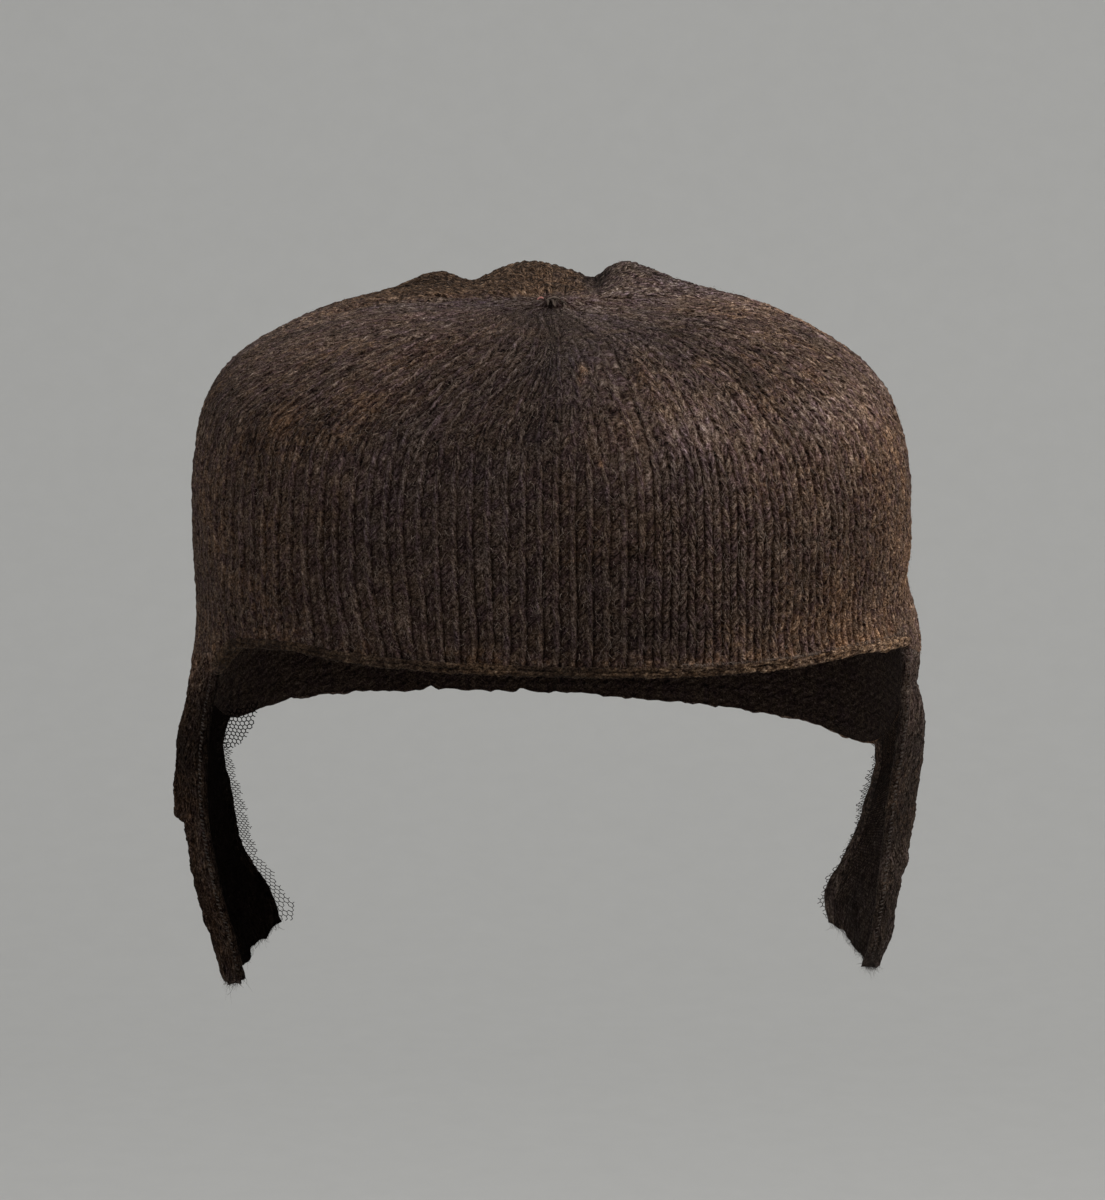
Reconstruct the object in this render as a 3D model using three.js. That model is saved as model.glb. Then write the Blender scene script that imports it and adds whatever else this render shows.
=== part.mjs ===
// A knitted woollen cap: a low domed crown gathered to a point, with a corded brow edge,
// and an ear flap sewn on at each side that is lined with fine net.
// Millimetres, +Z up. The front (brow) faces -Y and the wearer's nape is at +Y.
// The origin is where the cap sits on a head: the inside of the crown, under its point.

import * as THREE from 'three';

// Driving dimensions
const WALL = 3.2; // thickness of the fulled knitting
const GAP = 0.3; // clearance between pieces that are sewn together
const PLAN_POWER = 2.5; // 2 makes the crown's plan an ellipse, more makes it squarer
const COLUMN_DEGREES = 5; // spacing of the columns of faces round the cap
const EDGING_HEIGHT = 2.6; // corded edge below the brow
const EDGING_DEPTH = 4.2;
const HEM_WIDTH_SHARE = 0.16; // turned hem down the front edge of a flap, as a share of its width
const HEM_EXTRA = 1.1; // how much the turned hem adds to the wall
const NET_THICKNESS = 0.8;
const NET_FRONT_SHARE = 0.17; // the net starts behind the turned hem
const FLAP_ROWS = 14; // rows of faces down a flap

// Where the brow edge ends and where the nape edge starts, as angles from the front.
// Negative angles are on the -X side.
const LEFT = { temple: -65, junction: -115 };
const RIGHT = { temple: 70, junction: 115 };

// The crown's level sections from its point down: height, and how far the outside
// reaches from the axis to each side, to the front and to the back.
const DOME_SECTIONS = [
  { z: 2.8, left: 11.5, right: 11.5, front: 10.5, back: 10.5 },
  { z: 2.2, left: 24, right: 24, front: 22, back: 22 },
  { z: 1.5, left: 38.5, right: 38, front: 35, back: 35 },
  { z: 0.3, left: 53, right: 52.5, front: 48.5, back: 48.5 },
  { z: -3.6, left: 67, right: 64.5, front: 60, back: 60 },
  { z: -8.5, left: 77, right: 74, front: 68.5, back: 68.5 },
  { z: -13.5, left: 84.2, right: 81.4, front: 75.5, back: 75.5 },
  { z: -18.2, left: 88.6, right: 86, front: 81, back: 81 },
  { z: -23.5, left: 91.2, right: 89.5, front: 84.5, back: 84.5 },
  { z: -31, left: 92.9, right: 92, front: 86.8, back: 86.8 },
  { z: -42, left: 94.1, right: 93.9, front: 88, back: 88 },
];

// The same below the dome, where the sides draw in a little above the brow and flare below it.
const WALL_SECTIONS = [
  { z: -42, left: 94.1, right: 93.9, front: 88, back: 88 },
  { z: -60, left: 94.1, right: 94, front: 88, back: 88 },
  { z: -69, left: 93.4, right: 93.4, front: 87.5, back: 88 },
  { z: -76, left: 93.2, right: 95.3, front: 87, back: 87.5 },
  { z: -84, left: 93.8, right: 96.8, front: 87, back: 87 },
  { z: -94, left: 95.8, right: 96.4, front: 87, back: 86.5 },
  { z: -108, left: 97.5, right: 97.5, front: 87, back: 86 },
  { z: -130, left: 98, right: 98, front: 87, back: 85 },
];

// Height of the cap's lower edge round the crown. Between temple and junction it is the
// seam that carries the flap.
const EDGE_HEIGHTS = [
  { angle: -180, z: -119.9 },
  { angle: -155, z: -118.6 },
  { angle: -140, z: -117.4 },
  { angle: -128, z: -117 },
  { angle: -115, z: -117.2 },
  { angle: -90, z: -92 },
  { angle: -65, z: -80.8 },
  { angle: -55, z: -77 },
  { angle: -42, z: -74.8 },
  { angle: -36, z: -75.6 },
  { angle: 0, z: -77.6 },
  { angle: 36, z: -78.2 },
  { angle: 50, z: -77.6 },
  { angle: 60, z: -79 },
  { angle: 70, z: -81.5 },
  { angle: 90, z: -95 },
  { angle: 115, z: -124 },
  { angle: 136, z: -123.4 },
  { angle: 155, z: -122 },
  { angle: 180, z: -119.9 },
];

// Puckers behind the crown's point, where the last rounds were drawn together: a broad
// rise, three ridges that run back from the point, and the creases between them.
const PUCKERS = [
  { x: 0, y: 40, rise: 3.2, across: 38, along: 22 },
  { x: -31, y: 40, rise: 2.6, across: 6, along: 16 },
  { x: -22, y: 40, rise: -2.2, across: 4, along: 16 },
  { x: -6, y: 42, rise: 3.8, across: 8, along: 16 },
  { x: 11, y: 38, rise: -2.2, across: 3.5, along: 18 },
  { x: 21, y: 42, rise: 4, across: 7, along: 17 },
];

// The flaps' outer faces from the seam down: the front edge, the furthest point out and
// the rear edge of each section. The first row only starts the sweep, because the seam
// itself gives the flap's upper edge.
const LEFT_FLAP_SECTIONS = [
  { down: 0, front: [-88.5, -39, -81], side: [-96, -2, -93], rear: [-85.5, 41, -117.5] },
  { down: 0.28, front: [-89.5, -38, -103], side: [-98, -6, -110], rear: [-90.5, 33, -127] },
  { down: 0.52, front: [-89.8, -36, -126], side: [-99, -8, -130], rear: [-90, 26, -138] },
  { down: 0.75, front: [-87, -33, -148], side: [-95.5, -8, -149], rear: [-86, 23, -150] },
  { down: 0.9, front: [-83.8, -30, -162], side: [-91.5, -8, -163], rear: [-79.3, 25, -161.5] },
  { down: 1, front: [-82, -25, -172.5], side: [-86, -7, -177], rear: [-76, 22, -170.5] },
];
const RIGHT_FLAP_SECTIONS = [
  { down: 0, front: [90, -35, -81], side: [97, 0, -96], rear: [86, 40, -124] },
  { down: 0.28, front: [90.8, -37, -105], side: [98.3, -6, -112], rear: [87.7, 33, -134] },
  { down: 0.52, front: [88.8, -36, -128], side: [95.6, -8, -131], rear: [86, 26, -142] },
  { down: 0.75, front: [87, -33, -149], side: [91.8, -8, -150], rear: [81.6, 24, -152] },
  { down: 0.9, front: [85.2, -30, -163], side: [89, -8, -164], rear: [76.8, 26, -162.5] },
  { down: 1, front: [84, -24, -170], side: [85.6, -7, -173.5], rear: [78, 23, -171] },
];

// How far the net stands out past a flap's rear edge, as a share of the flap's width.
const LEFT_NET_OVERHANG = [
  { down: 0, share: 0.1 },
  { down: 0.15, share: 0.1 },
  { down: 0.35, share: 0.03 },
  { down: 0.7, share: 0.04 },
  { down: 0.9, share: 0.05 },
  { down: 1, share: 0.02 },
];
const RIGHT_NET_OVERHANG = [
  { down: 0, share: 0.01 },
  { down: 0.3, share: 0.03 },
  { down: 0.6, share: 0.01 },
  { down: 0.9, share: 0.03 },
  { down: 1, share: 0.01 },
];

const WOOL = new THREE.Color(0.135, 0.098, 0.08);
const EDGE_WOOL = new THREE.Color(0.2, 0.145, 0.11);
const NET = new THREE.Color(0.045, 0.04, 0.04);

// Smooth value of one column of a table at a place in another column.
function smoothValue(rows, input, output, at) {
  const last = rows.length - 1;
  const place = THREE.MathUtils.clamp(
    at,
    Math.min(rows[0][input], rows[last][input]),
    Math.max(rows[0][input], rows[last][input]),
  );
  let i = 0;
  while (i < last - 1 && (place - rows[i + 1][input]) * (rows[last][input] - rows[0][input]) > 0) {
    i += 1;
  }
  const slope = (j) => {
    const before = rows[Math.max(j - 1, 0)];
    const after = rows[Math.min(j + 1, last)];
    return (after[output] - before[output]) / (after[input] - before[input]);
  };
  const span = rows[i + 1][input] - rows[i][input];
  const t = (place - rows[i][input]) / span;
  const hermite = [
    (1 + 2 * t) * (1 - t) ** 2,
    t * (1 - t) ** 2,
    t * t * (3 - 2 * t),
    t * t * (t - 1),
  ];
  return (
    hermite[0] * rows[i][output] +
    hermite[1] * span * slope(i) +
    hermite[2] * rows[i + 1][output] +
    hermite[3] * span * slope(i + 1)
  );
}

// The same for a column that holds points.
function smoothPoint(rows, output, at) {
  const part = (k) => {
    const column = rows.map((row) => ({ down: row.down, value: row[output][k] }));
    return smoothValue(column, 'down', 'value', at);
  };
  return new THREE.Vector3(part(0), part(1), part(2));
}

// A point of a rounded plan section, at an angle from the front.
function planPoint(section, degrees) {
  const angle = THREE.MathUtils.degToRad(degrees);
  const acrossPart = Math.abs(Math.sin(angle)) / (Math.sin(angle) > 0 ? section.right : section.left);
  const depthPart = Math.abs(Math.cos(angle)) / (Math.cos(angle) > 0 ? section.front : section.back);
  const reach = (acrossPart ** PLAN_POWER + depthPart ** PLAN_POWER) ** (-1 / PLAN_POWER);
  return new THREE.Vector3(reach * Math.sin(angle), -reach * Math.cos(angle), section.z);
}

// Level normal of a plan section, pointing out of the cap.
function planNormal(section, degrees) {
  const step = 1;
  const along = planPoint(section, degrees + step).sub(planPoint(section, degrees - step));
  return new THREE.Vector3(along.y, -along.x, 0).normalize();
}

// The section of the cap's side wall at a height.
function wallSection(z) {
  const section = { z };
  for (const side of ['left', 'right', 'front', 'back']) {
    section[side] = smoothValue(WALL_SECTIONS, 'z', side, z);
  }
  return section;
}

function edgeHeight(degrees) {
  return smoothValue(EDGE_HEIGHTS, 'angle', 'z', degrees);
}

// The crown gives way to the corded edging between its ends.
function crownEdgeHeight(degrees) {
  const overEdging = degrees > LEFT.temple && degrees < RIGHT.temple;
  return edgeHeight(degrees) + (overEdging ? EDGING_HEIGHT + GAP : 0);
}

function puckerRise(x, y) {
  let rise = 0;
  for (const pucker of PUCKERS) {
    const across = (x - pucker.x) / pucker.across;
    const along = (y - pucker.y) / pucker.along;
    rise += pucker.rise * Math.exp(-0.5 * (across * across + along * along));
  }
  return rise;
}

// One column of the crown's outside without its puckers, from the point to the lower edge.
function crownColumn(degrees, domeSteps, wallSteps) {
  const through = [new THREE.Vector3(0, 0, WALL)];
  for (const section of DOME_SECTIONS) {
    through.push(planPoint(section, degrees));
  }
  const dome = new THREE.CatmullRomCurve3(through, false, 'centripetal');
  const points = dome.getSpacedPoints(domeSteps);
  const top = WALL_SECTIONS[0].z;
  const bottom = crownEdgeHeight(degrees);
  for (let i = 1; i <= wallSteps; i += 1) {
    points.push(planPoint(wallSection(top + ((bottom - top) * i) / wallSteps), degrees));
  }
  return points;
}

// Outward normal of the crown's outside at one place of its columns, from the neighbours.
function columnNormal(grid, column, row) {
  const columns = grid.length;
  const rows = grid[0].length;
  const around = grid[(column + 1) % columns][row].clone();
  around.sub(grid[(column + columns - 1) % columns][row]);
  const down = grid[column][Math.min(row + 1, rows - 1)].clone();
  down.sub(grid[column][Math.max(row - 1, 0)]);
  return down.cross(around).normalize();
}

// A closed mesh from a list of points and faces of three or four corners.
function solidMesh(name, points, faces, color, roughness) {
  const geometry = new THREE.BufferGeometry();
  const index = [];
  for (const face of faces) {
    for (let i = 1; i < face.length - 1; i += 1) {
      index.push(face[0], face[i], face[i + 1]);
    }
  }
  geometry.setAttribute('position', new THREE.Float32BufferAttribute(points.flatMap((p) => p.toArray()), 3));
  geometry.setIndex(index);
  geometry.computeVertexNormals();
  const material = new THREE.MeshStandardMaterial({ color, roughness, metalness: 0 });
  const mesh = new THREE.Mesh(geometry, material);
  mesh.name = name;
  return mesh;
}

// The crown: an outer and an inner surface that share their point's axis and meet at the edge.
function crown() {
  const domeSteps = 13;
  const wallSteps = 6;
  const columns = 360 / COLUMN_DEGREES;
  const plain = [];
  for (let i = 0; i < columns; i += 1) {
    plain.push(crownColumn(-180 + i * COLUMN_DEGREES, domeSteps, wallSteps));
  }
  const rows = plain[0].length - 1;
  const points = [];
  const rise = puckerRise(0, 0);
  points.push(new THREE.Vector3(0, 0, WALL + rise), new THREE.Vector3(0, 0, rise));
  for (let i = 0; i < columns; i += 1) {
    for (let j = 1; j <= rows; j += 1) {
      const outside = plain[i][j].clone();
      const normal =
        j > domeSteps
          ? planNormal(wallSection(outside.z), -180 + i * COLUMN_DEGREES)
          : columnNormal(plain, i, j);
      outside.z += puckerRise(outside.x, outside.y) * THREE.MathUtils.smoothstep(outside.z, -16, -2);
      points.push(outside, outside.clone().addScaledVector(normal, -WALL));
    }
  }
  const at = (i, j, inside) => 2 + ((i % columns) * rows + (j - 1)) * 2 + inside;
  const faces = [];
  for (let i = 0; i < columns; i += 1) {
    faces.push([0, at(i, 1, 0), at(i + 1, 1, 0)], [1, at(i + 1, 1, 1), at(i, 1, 1)]);
    for (let j = 1; j < rows; j += 1) {
      faces.push([at(i, j, 0), at(i, j + 1, 0), at(i + 1, j + 1, 0), at(i + 1, j, 0)]);
      faces.push([at(i, j, 1), at(i + 1, j, 1), at(i + 1, j + 1, 1), at(i, j + 1, 1)]);
    }
    faces.push([at(i, rows, 0), at(i, rows, 1), at(i + 1, rows, 1), at(i + 1, rows, 0)]);
  }
  return solidMesh('crown', points, faces, WOOL, 0.95);
}

// The corded edge along the brow, a rounded bead between the temples.
function browEdging() {
  const sides = 8;
  const points = [];
  const faces = [];
  const start = LEFT.temple + COLUMN_DEGREES;
  const end = RIGHT.temple - COLUMN_DEGREES;
  const stations = (end - start) / COLUMN_DEGREES;
  for (let i = 0; i <= stations; i += 1) {
    const degrees = start + i * COLUMN_DEGREES;
    const bottom = edgeHeight(degrees);
    const outside = planPoint(wallSection(bottom), degrees);
    const inward = new THREE.Vector3(outside.x, outside.y, 0).normalize().negate();
    for (let k = 0; k < sides; k += 1) {
      const turn = (2 * Math.PI * k) / sides;
      const point = outside.clone().addScaledVector(inward, WALL / 2 - (EDGING_DEPTH / 2) * Math.cos(turn));
      point.z += (EDGING_HEIGHT / 2) * (1 + Math.sin(turn));
      points.push(point);
    }
  }
  for (let i = 0; i < stations; i += 1) {
    for (let k = 0; k < sides; k += 1) {
      const next = (k + 1) % sides;
      faces.push([i * sides + k, (i + 1) * sides + k, (i + 1) * sides + next, i * sides + next]);
    }
  }
  const ring = Array.from({ length: sides }, (_, k) => k);
  faces.push(ring.slice(), ring.map((k) => stations * sides + sides - 1 - k));
  return solidMesh('brow_edging', points, faces, EDGE_WOOL, 0.95);
}

// A point of a flap's outer face: across runs from the front edge (0) to the rear edge (1),
// and down from the seam (0) to the flap's end (1).
function flapPoint(sections, span, across, down) {
  const bend = (at) => {
    const front = smoothPoint(sections, 'front', at);
    const side = smoothPoint(sections, 'side', at);
    const rear = smoothPoint(sections, 'rear', at);
    return front
      .multiplyScalar((1 - across) * (1 - 2 * across))
      .addScaledVector(side, 4 * across * (1 - across))
      .addScaledVector(rear, across * (2 * across - 1));
  };
  const toSeam = seamPoint(span, across).sub(bend(0));
  return bend(down).addScaledVector(toSeam, 1 - THREE.MathUtils.smoothstep(down, 0, 0.45));
}

function seamDegrees(span, across) {
  return THREE.MathUtils.lerp(span.temple, span.junction, Math.min(across, 1));
}

// The flap's upper edge lies just under the crown's.
function seamPoint(span, across) {
  const degrees = seamDegrees(span, across);
  return planPoint(wallSection(edgeHeight(degrees) - GAP), degrees);
}

// Level normal of a flap's outer face. At the seam it is the crown's own.
function flapNormal(sections, span, across, down) {
  const step = 0.02;
  const along = flapPoint(sections, span, across + step, down);
  along.sub(flapPoint(sections, span, across - step, down));
  const side = Math.sign(span.temple);
  const own = new THREE.Vector3(along.y, -along.x, 0).normalize().multiplyScalar(side);
  const degrees = seamDegrees(span, across);
  const crowns = planNormal(wallSection(edgeHeight(degrees)), degrees);
  return crowns.lerp(own, THREE.MathUtils.smoothstep(down, 0, 0.3)).normalize();
}

// A curved panel between two grids of points, an outer one and an inner one.
function panelMesh(name, outer, inner, side, color) {
  const columns = outer.length;
  const rows = outer[0].length;
  const points = [];
  for (let i = 0; i < columns; i += 1) {
    for (let j = 0; j < rows; j += 1) {
      points.push(outer[i][j], inner[i][j]);
    }
  }
  const at = (i, j, inside) => (i * rows + j) * 2 + inside;
  const faces = [];
  for (let i = 0; i < columns - 1; i += 1) {
    for (let j = 0; j < rows - 1; j += 1) {
      faces.push([at(i, j, 0), at(i, j + 1, 0), at(i + 1, j + 1, 0), at(i + 1, j, 0)]);
      faces.push([at(i, j, 1), at(i + 1, j, 1), at(i + 1, j + 1, 1), at(i, j + 1, 1)]);
    }
    faces.push([at(i, 0, 0), at(i + 1, 0, 0), at(i + 1, 0, 1), at(i, 0, 1)]);
    faces.push([at(i, rows - 1, 0), at(i, rows - 1, 1), at(i + 1, rows - 1, 1), at(i + 1, rows - 1, 0)]);
  }
  const last = columns - 1;
  for (let j = 0; j < rows - 1; j += 1) {
    faces.push([at(0, j, 0), at(0, j, 1), at(0, j + 1, 1), at(0, j + 1, 0)]);
    faces.push([at(last, j, 0), at(last, j + 1, 0), at(last, j + 1, 1), at(last, j, 1)]);
  }
  const facing = side > 0 ? faces : faces.map((face) => face.slice().reverse());
  return solidMesh(name, points, facing, color, 0.95);
}

// A layer of a flap between two depths below its outer face, over lists of places.
function flapLayer(name, sections, span, acrossAt, downs, depths, color) {
  const outer = [];
  const inner = [];
  for (let i = 0; i < acrossAt.length; i += 1) {
    outer.push([]);
    inner.push([]);
    for (const down of downs) {
      const across = acrossAt[i](down);
      const point = flapPoint(sections, span, across, down);
      const normal = flapNormal(sections, span, across, down);
      const [from, to] = depths(across);
      outer[i].push(point.clone().addScaledVector(normal, -from));
      inner[i].push(point.clone().addScaledVector(normal, -to));
    }
  }
  return panelMesh(name, outer, inner, Math.sign(span.temple), color);
}

function flapColumns(span) {
  return Math.abs(span.junction - span.temple) / COLUMN_DEGREES;
}

// An ear flap, thicker along the turned hem of its front edge.
function earFlap(name, sections, span) {
  const columns = flapColumns(span);
  const acrossAt = Array.from({ length: columns + 1 }, (_, i) => () => i / columns);
  const downs = Array.from({ length: FLAP_ROWS + 1 }, (_, j) => j / FLAP_ROWS);
  const depths = (across) => {
    return [0, WALL + HEM_EXTRA * (1 - THREE.MathUtils.smoothstep(across, 0, HEM_WIDTH_SHARE))];
  };
  return flapLayer(name, sections, span, acrossAt, downs, depths, WOOL);
}

// The net on a flap's inner face, from behind the hem to past the rear edge.
function netLining(name, sections, span, overhang) {
  const columns = flapColumns(span);
  const acrossAt = [];
  for (let i = Math.ceil(NET_FRONT_SHARE * columns); i <= columns; i += 1) {
    acrossAt.push(() => i / columns);
  }
  acrossAt.push((down) => 1 + smoothValue(overhang, 'down', 'share', down));
  const downs = Array.from({ length: FLAP_ROWS }, (_, j) => (j + 1) / FLAP_ROWS);
  const depths = () => [WALL + GAP, WALL + GAP + NET_THICKNESS];
  return flapLayer(name, sections, span, acrossAt, downs, depths, NET);
}

const cap = new THREE.Group();
cap.name = 'knit_cap';
cap.add(crown());
cap.add(browEdging());
cap.add(earFlap('ear_flap_left', LEFT_FLAP_SECTIONS, LEFT));
cap.add(earFlap('ear_flap_right', RIGHT_FLAP_SECTIONS, RIGHT));
cap.add(netLining('net_lining_left', LEFT_FLAP_SECTIONS, LEFT, LEFT_NET_OVERHANG));
cap.add(netLining('net_lining_right', RIGHT_FLAP_SECTIONS, RIGHT, RIGHT_NET_OVERHANG));

export default cap;
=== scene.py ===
# A worn, fulled woollen cap, knitted in the round, with a corded brow edge and two ear flaps
# that are lined with fine net. The stitches, the net's strands and the loose fibres are real
# geometry over the frame's plain shapes.
# Shapes are worked out in millimetres and turned into metres when a mesh is made.
# The front (brow) faces -Y, +X is on the right of the view from the front, and +Z is up.

import math

import bpy
import numpy as np
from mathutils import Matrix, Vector


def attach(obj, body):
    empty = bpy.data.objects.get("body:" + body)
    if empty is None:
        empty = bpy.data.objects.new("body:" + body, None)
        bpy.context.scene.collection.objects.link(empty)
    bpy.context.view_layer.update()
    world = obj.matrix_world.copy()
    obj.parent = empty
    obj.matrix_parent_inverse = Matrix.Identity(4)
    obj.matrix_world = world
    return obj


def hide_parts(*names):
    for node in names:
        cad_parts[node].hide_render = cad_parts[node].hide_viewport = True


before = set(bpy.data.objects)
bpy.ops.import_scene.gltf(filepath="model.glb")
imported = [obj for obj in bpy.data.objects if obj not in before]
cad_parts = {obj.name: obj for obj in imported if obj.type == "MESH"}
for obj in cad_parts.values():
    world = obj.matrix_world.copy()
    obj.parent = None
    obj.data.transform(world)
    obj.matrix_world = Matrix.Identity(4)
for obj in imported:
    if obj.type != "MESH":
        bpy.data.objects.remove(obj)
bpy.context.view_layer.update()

# Driving dimensions, the same as the frame's
WALL = 3.2
GAP = 0.3
PLAN_POWER = 2.5
EDGING_HEIGHT = 2.6
HEM_WIDTH_SHARE = 0.16
HEM_EXTRA = 1.1
NET_FRONT_SHARE = 0.17
LEFT = {"temple": -65.0, "junction": -115.0}
RIGHT = {"temple": 70.0, "junction": 115.0}

# The knitting
WALES = 132  # stitches round the cap
STITCH_WIDTH = 4.5  # of one stitch on the straight wall
DECREASES = [(38, 110), (31, 88), (24, 66), (17, 44), (9, 22)]  # round, stitches left above it
COURSE = 2.4  # height of one round
DOME_COURSES = 47.5  # rounds from the point to where the straight wall starts
POINT_COURSES = 14  # rounds that are made as a piece of their own at the point
DEEPEST_COURSE = 84  # further down than any edge
GROOVE_DEPTH = 1.15  # how deep the grooves between the legs of the stitches go
GROOVE_DARKNESS = 1.15  # how fast the painted shade in a groove darkens as it deepens
STREAK_RELIEF = 0.13  # how far the lighter lines along the wales stand up
STREAK_LIGHT = 0.42  # how much lighter they are
LEFT_SHARE = 0.42  # part of a stitch's width that its left leg takes
RIGHT_TILT = 1.15  # rounds that a stitch's right leg climbs across its own width
LEFT_TILT = 3.1
EVEN_TILT = 1.9  # the left leg's where both legs look alike
STROKES_ABOVE = 42  # round above which the strokes of fibre are drawn out along the wales
DEGREES_IN_RADIAN = 57.3

# The crown's level sections: height, then reach to each side, to the front and to the back
DOME_SECTIONS = np.array(
    [
        [2.8, 11.5, 11.5, 10.5, 10.5],
        [2.2, 24.0, 24.0, 22.0, 22.0],
        [1.5, 38.5, 38.0, 35.0, 35.0],
        [0.3, 53.0, 52.5, 48.5, 48.5],
        [-3.6, 67.0, 64.5, 60.0, 60.0],
        [-8.5, 77.0, 74.0, 68.5, 68.5],
        [-13.5, 84.2, 81.4, 75.5, 75.5],
        [-18.2, 88.6, 86.0, 81.0, 81.0],
        [-23.5, 91.2, 89.5, 84.5, 84.5],
        [-31.0, 92.9, 92.0, 86.8, 86.8],
        [-42.0, 94.1, 93.9, 88.0, 88.0],
    ]
)
WALL_SECTIONS = np.array(
    [
        [-42.0, 94.1, 93.9, 88.0, 88.0],
        [-60.0, 94.1, 94.0, 88.0, 88.0],
        [-69.0, 93.4, 93.4, 87.5, 88.0],
        [-76.0, 93.2, 95.3, 87.0, 87.5],
        [-84.0, 93.8, 96.8, 87.0, 87.0],
        [-94.0, 95.8, 96.4, 87.0, 86.5],
        [-108.0, 97.5, 97.5, 87.0, 86.0],
        [-130.0, 98.0, 98.0, 87.0, 85.0],
    ]
)

# Lower edge of the crown: angle from the front, height
EDGE_HEIGHTS = np.array(
    [
        [-180.0, -119.9],
        [-155.0, -118.6],
        [-140.0, -117.4],
        [-128.0, -117.0],
        [-115.0, -117.2],
        [-90.0, -92.0],
        [-65.0, -80.8],
        [-55.0, -77.0],
        [-42.0, -74.8],
        [-36.0, -75.6],
        [0.0, -77.6],
        [36.0, -78.2],
        [50.0, -77.6],
        [60.0, -79.0],
        [70.0, -81.5],
        [90.0, -95.0],
        [115.0, -124.0],
        [136.0, -123.4],
        [155.0, -122.0],
        [180.0, -119.9],
    ]
)

# Puckers behind the point: x, y, rise, half width, half length
PUCKERS = [
    (0, 40, 3.2, 38, 22),
    (-31, 40, 2.6, 6, 16),
    (-22, 40, -2.2, 4, 16),
    (-6, 42, 3.8, 8, 16),
    (11, 38, -2.2, 3.5, 18),
    (21, 42, 4, 7, 17),
]

# Flaps from the seam down: share, then the front edge, the furthest point out and the rear edge
LEFT_FLAP = np.array(
    [
        [0.0, -88.5, -39, -81, -96, -2, -93, -85.5, 41, -117.5],
        [0.28, -91.6, -38, -103, -98, -6, -110, -90.5, 33, -127],
        [0.52, -91.9, -36, -126, -99, -8, -130, -89, 26, -138],
        [0.75, -88.6, -33, -148, -95.5, -8, -149, -86, 23, -150],
        [0.9, -85.0, -30, -162, -91.5, -8, -163, -79.3, 25, -161.5],
        [1.0, -83, -25, -174.5, -86.5, -7, -178, -76, 22, -171.5],
    ]
)
RIGHT_FLAP = np.array(
    [
        [0.0, 90, -35, -81, 97, 0, -96, 86, 40, -124],
        [0.28, 90.8, -37, -105, 98.3, -6, -112, 87.7, 33, -134],
        [0.52, 88.8, -36, -128, 95.6, -8, -131, 86, 26, -142],
        [0.75, 87, -33, -149, 91.8, -8, -150, 81.6, 24, -152],
        [0.9, 85.2, -30, -163, 89, -8, -164, 76.8, 26, -162.5],
        [1.0, 84, -24, -170, 85.6, -7, -173.5, 78, 23, -171],
    ]
)
# How far the net stands out past a flap's rear edge: share of the flap's length, millimetres
LEFT_NET_OVERHANG = np.array(
    [[0, 0], [0.12, 0.3], [0.2, 1.9], [0.4, 2.1], [0.6, 3.2], [0.75, 2.7], [0.88, 3.2], [0.94, 4.6], [1, 3]]
)
RIGHT_NET_OVERHANG = np.array(
    [[0, 0], [0.12, 0.4], [0.2, 1.5], [0.45, 1.3], [0.55, 0.3], [0.85, 0.5], [0.93, 1.2], [1, 0.4]]
)

# The loose corner of net where the left flap meets the nape: x and z of its outline, at SCRAP_DEPTH
SCRAP_DEPTH = 37.0
SCRAP_OUTLINE = [
    (-80, -112.5), (-88.5, -115), (-90, -124.9), (-87.9, -125.4), (-84.6, -123.5), (-81.4, -118.8)
]

RANDOM = np.random.default_rng(16)
LATTICE = RANDOM.random((64, 64, 64))


def smoothstep(value, start, end):
    """Rises from 0 at the start to 1 at the end."""
    t = np.clip((value - start) / (end - start), 0, 1)
    return t * t * (3 - 2 * t)


def fall(value, start, end):
    """Falls from 1 at the start to 0 at the end."""
    return smoothstep(-value, -end, -start)


def hill(value, centre, half):
    """Rises to 1 at the centre and falls off to both sides."""
    return np.exp(-(((value - centre) / half) ** 2))


def mix(a, b, share):
    """Goes from a to b as the share goes from 0 to 1."""
    return a + (b - a) * share


def soft_noise(points, size, layer=0):
    """Smooth random value from -1 to 1 at points in space, with lumps of about that size."""
    place = np.asarray(points, float) / size + layer * 11.73
    cell = np.floor(place).astype(int)
    part = place - cell
    part = part * part * (3 - 2 * part)
    total = np.zeros(place.shape[:-1])
    for i in (0, 1):
        for j in (0, 1):
            for k in (0, 1):
                weight = (
                    (part[..., 0] if i else 1 - part[..., 0])
                    * (part[..., 1] if j else 1 - part[..., 1])
                    * (part[..., 2] if k else 1 - part[..., 2])
                )
                total += weight * LATTICE[
                    (cell[..., 0] + i) & 63, (cell[..., 1] + j) & 63, (cell[..., 2] + k) & 63
                ]
    return 2 * total - 1


def chance(a, b=0.0, layer=0.0):
    """Repeatable random value from 0 to 1 for whole numbers a and b."""
    value = np.sin(np.asarray(a) * 12.9898 + np.asarray(b) * 78.233 + layer * 37.719) * 43758.5453
    return value - np.floor(value)


def smooth_value(rows, at):
    """Smooth curve through a table whose first column rises. Gives the other columns."""
    places = rows[:, 0]
    values = rows[:, 1:]
    at = np.clip(np.asarray(at, float), places[0], places[-1])
    i = np.clip(np.searchsorted(places, at, side="left") - 1, 0, len(places) - 2)
    before = np.maximum(np.arange(len(places)) - 1, 0)
    after = np.minimum(np.arange(len(places)) + 1, len(places) - 1)
    slopes = (values[after] - values[before]) / (places[after] - places[before])[:, None]
    span = (places[i + 1] - places[i])[..., None]
    t = (at[..., None] - places[i][..., None]) / span
    return (
        (1 + 2 * t) * (1 - t) ** 2 * values[i]
        + t * (1 - t) ** 2 * span * slopes[i]
        + t * t * (3 - 2 * t) * values[i + 1]
        + t * t * (t - 1) * span * slopes[i + 1]
    )


def unit(vectors):
    """Vectors of the same directions and of length 1."""
    return vectors / np.maximum(np.linalg.norm(vectors, axis=-1, keepdims=True), 1e-12)


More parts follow.
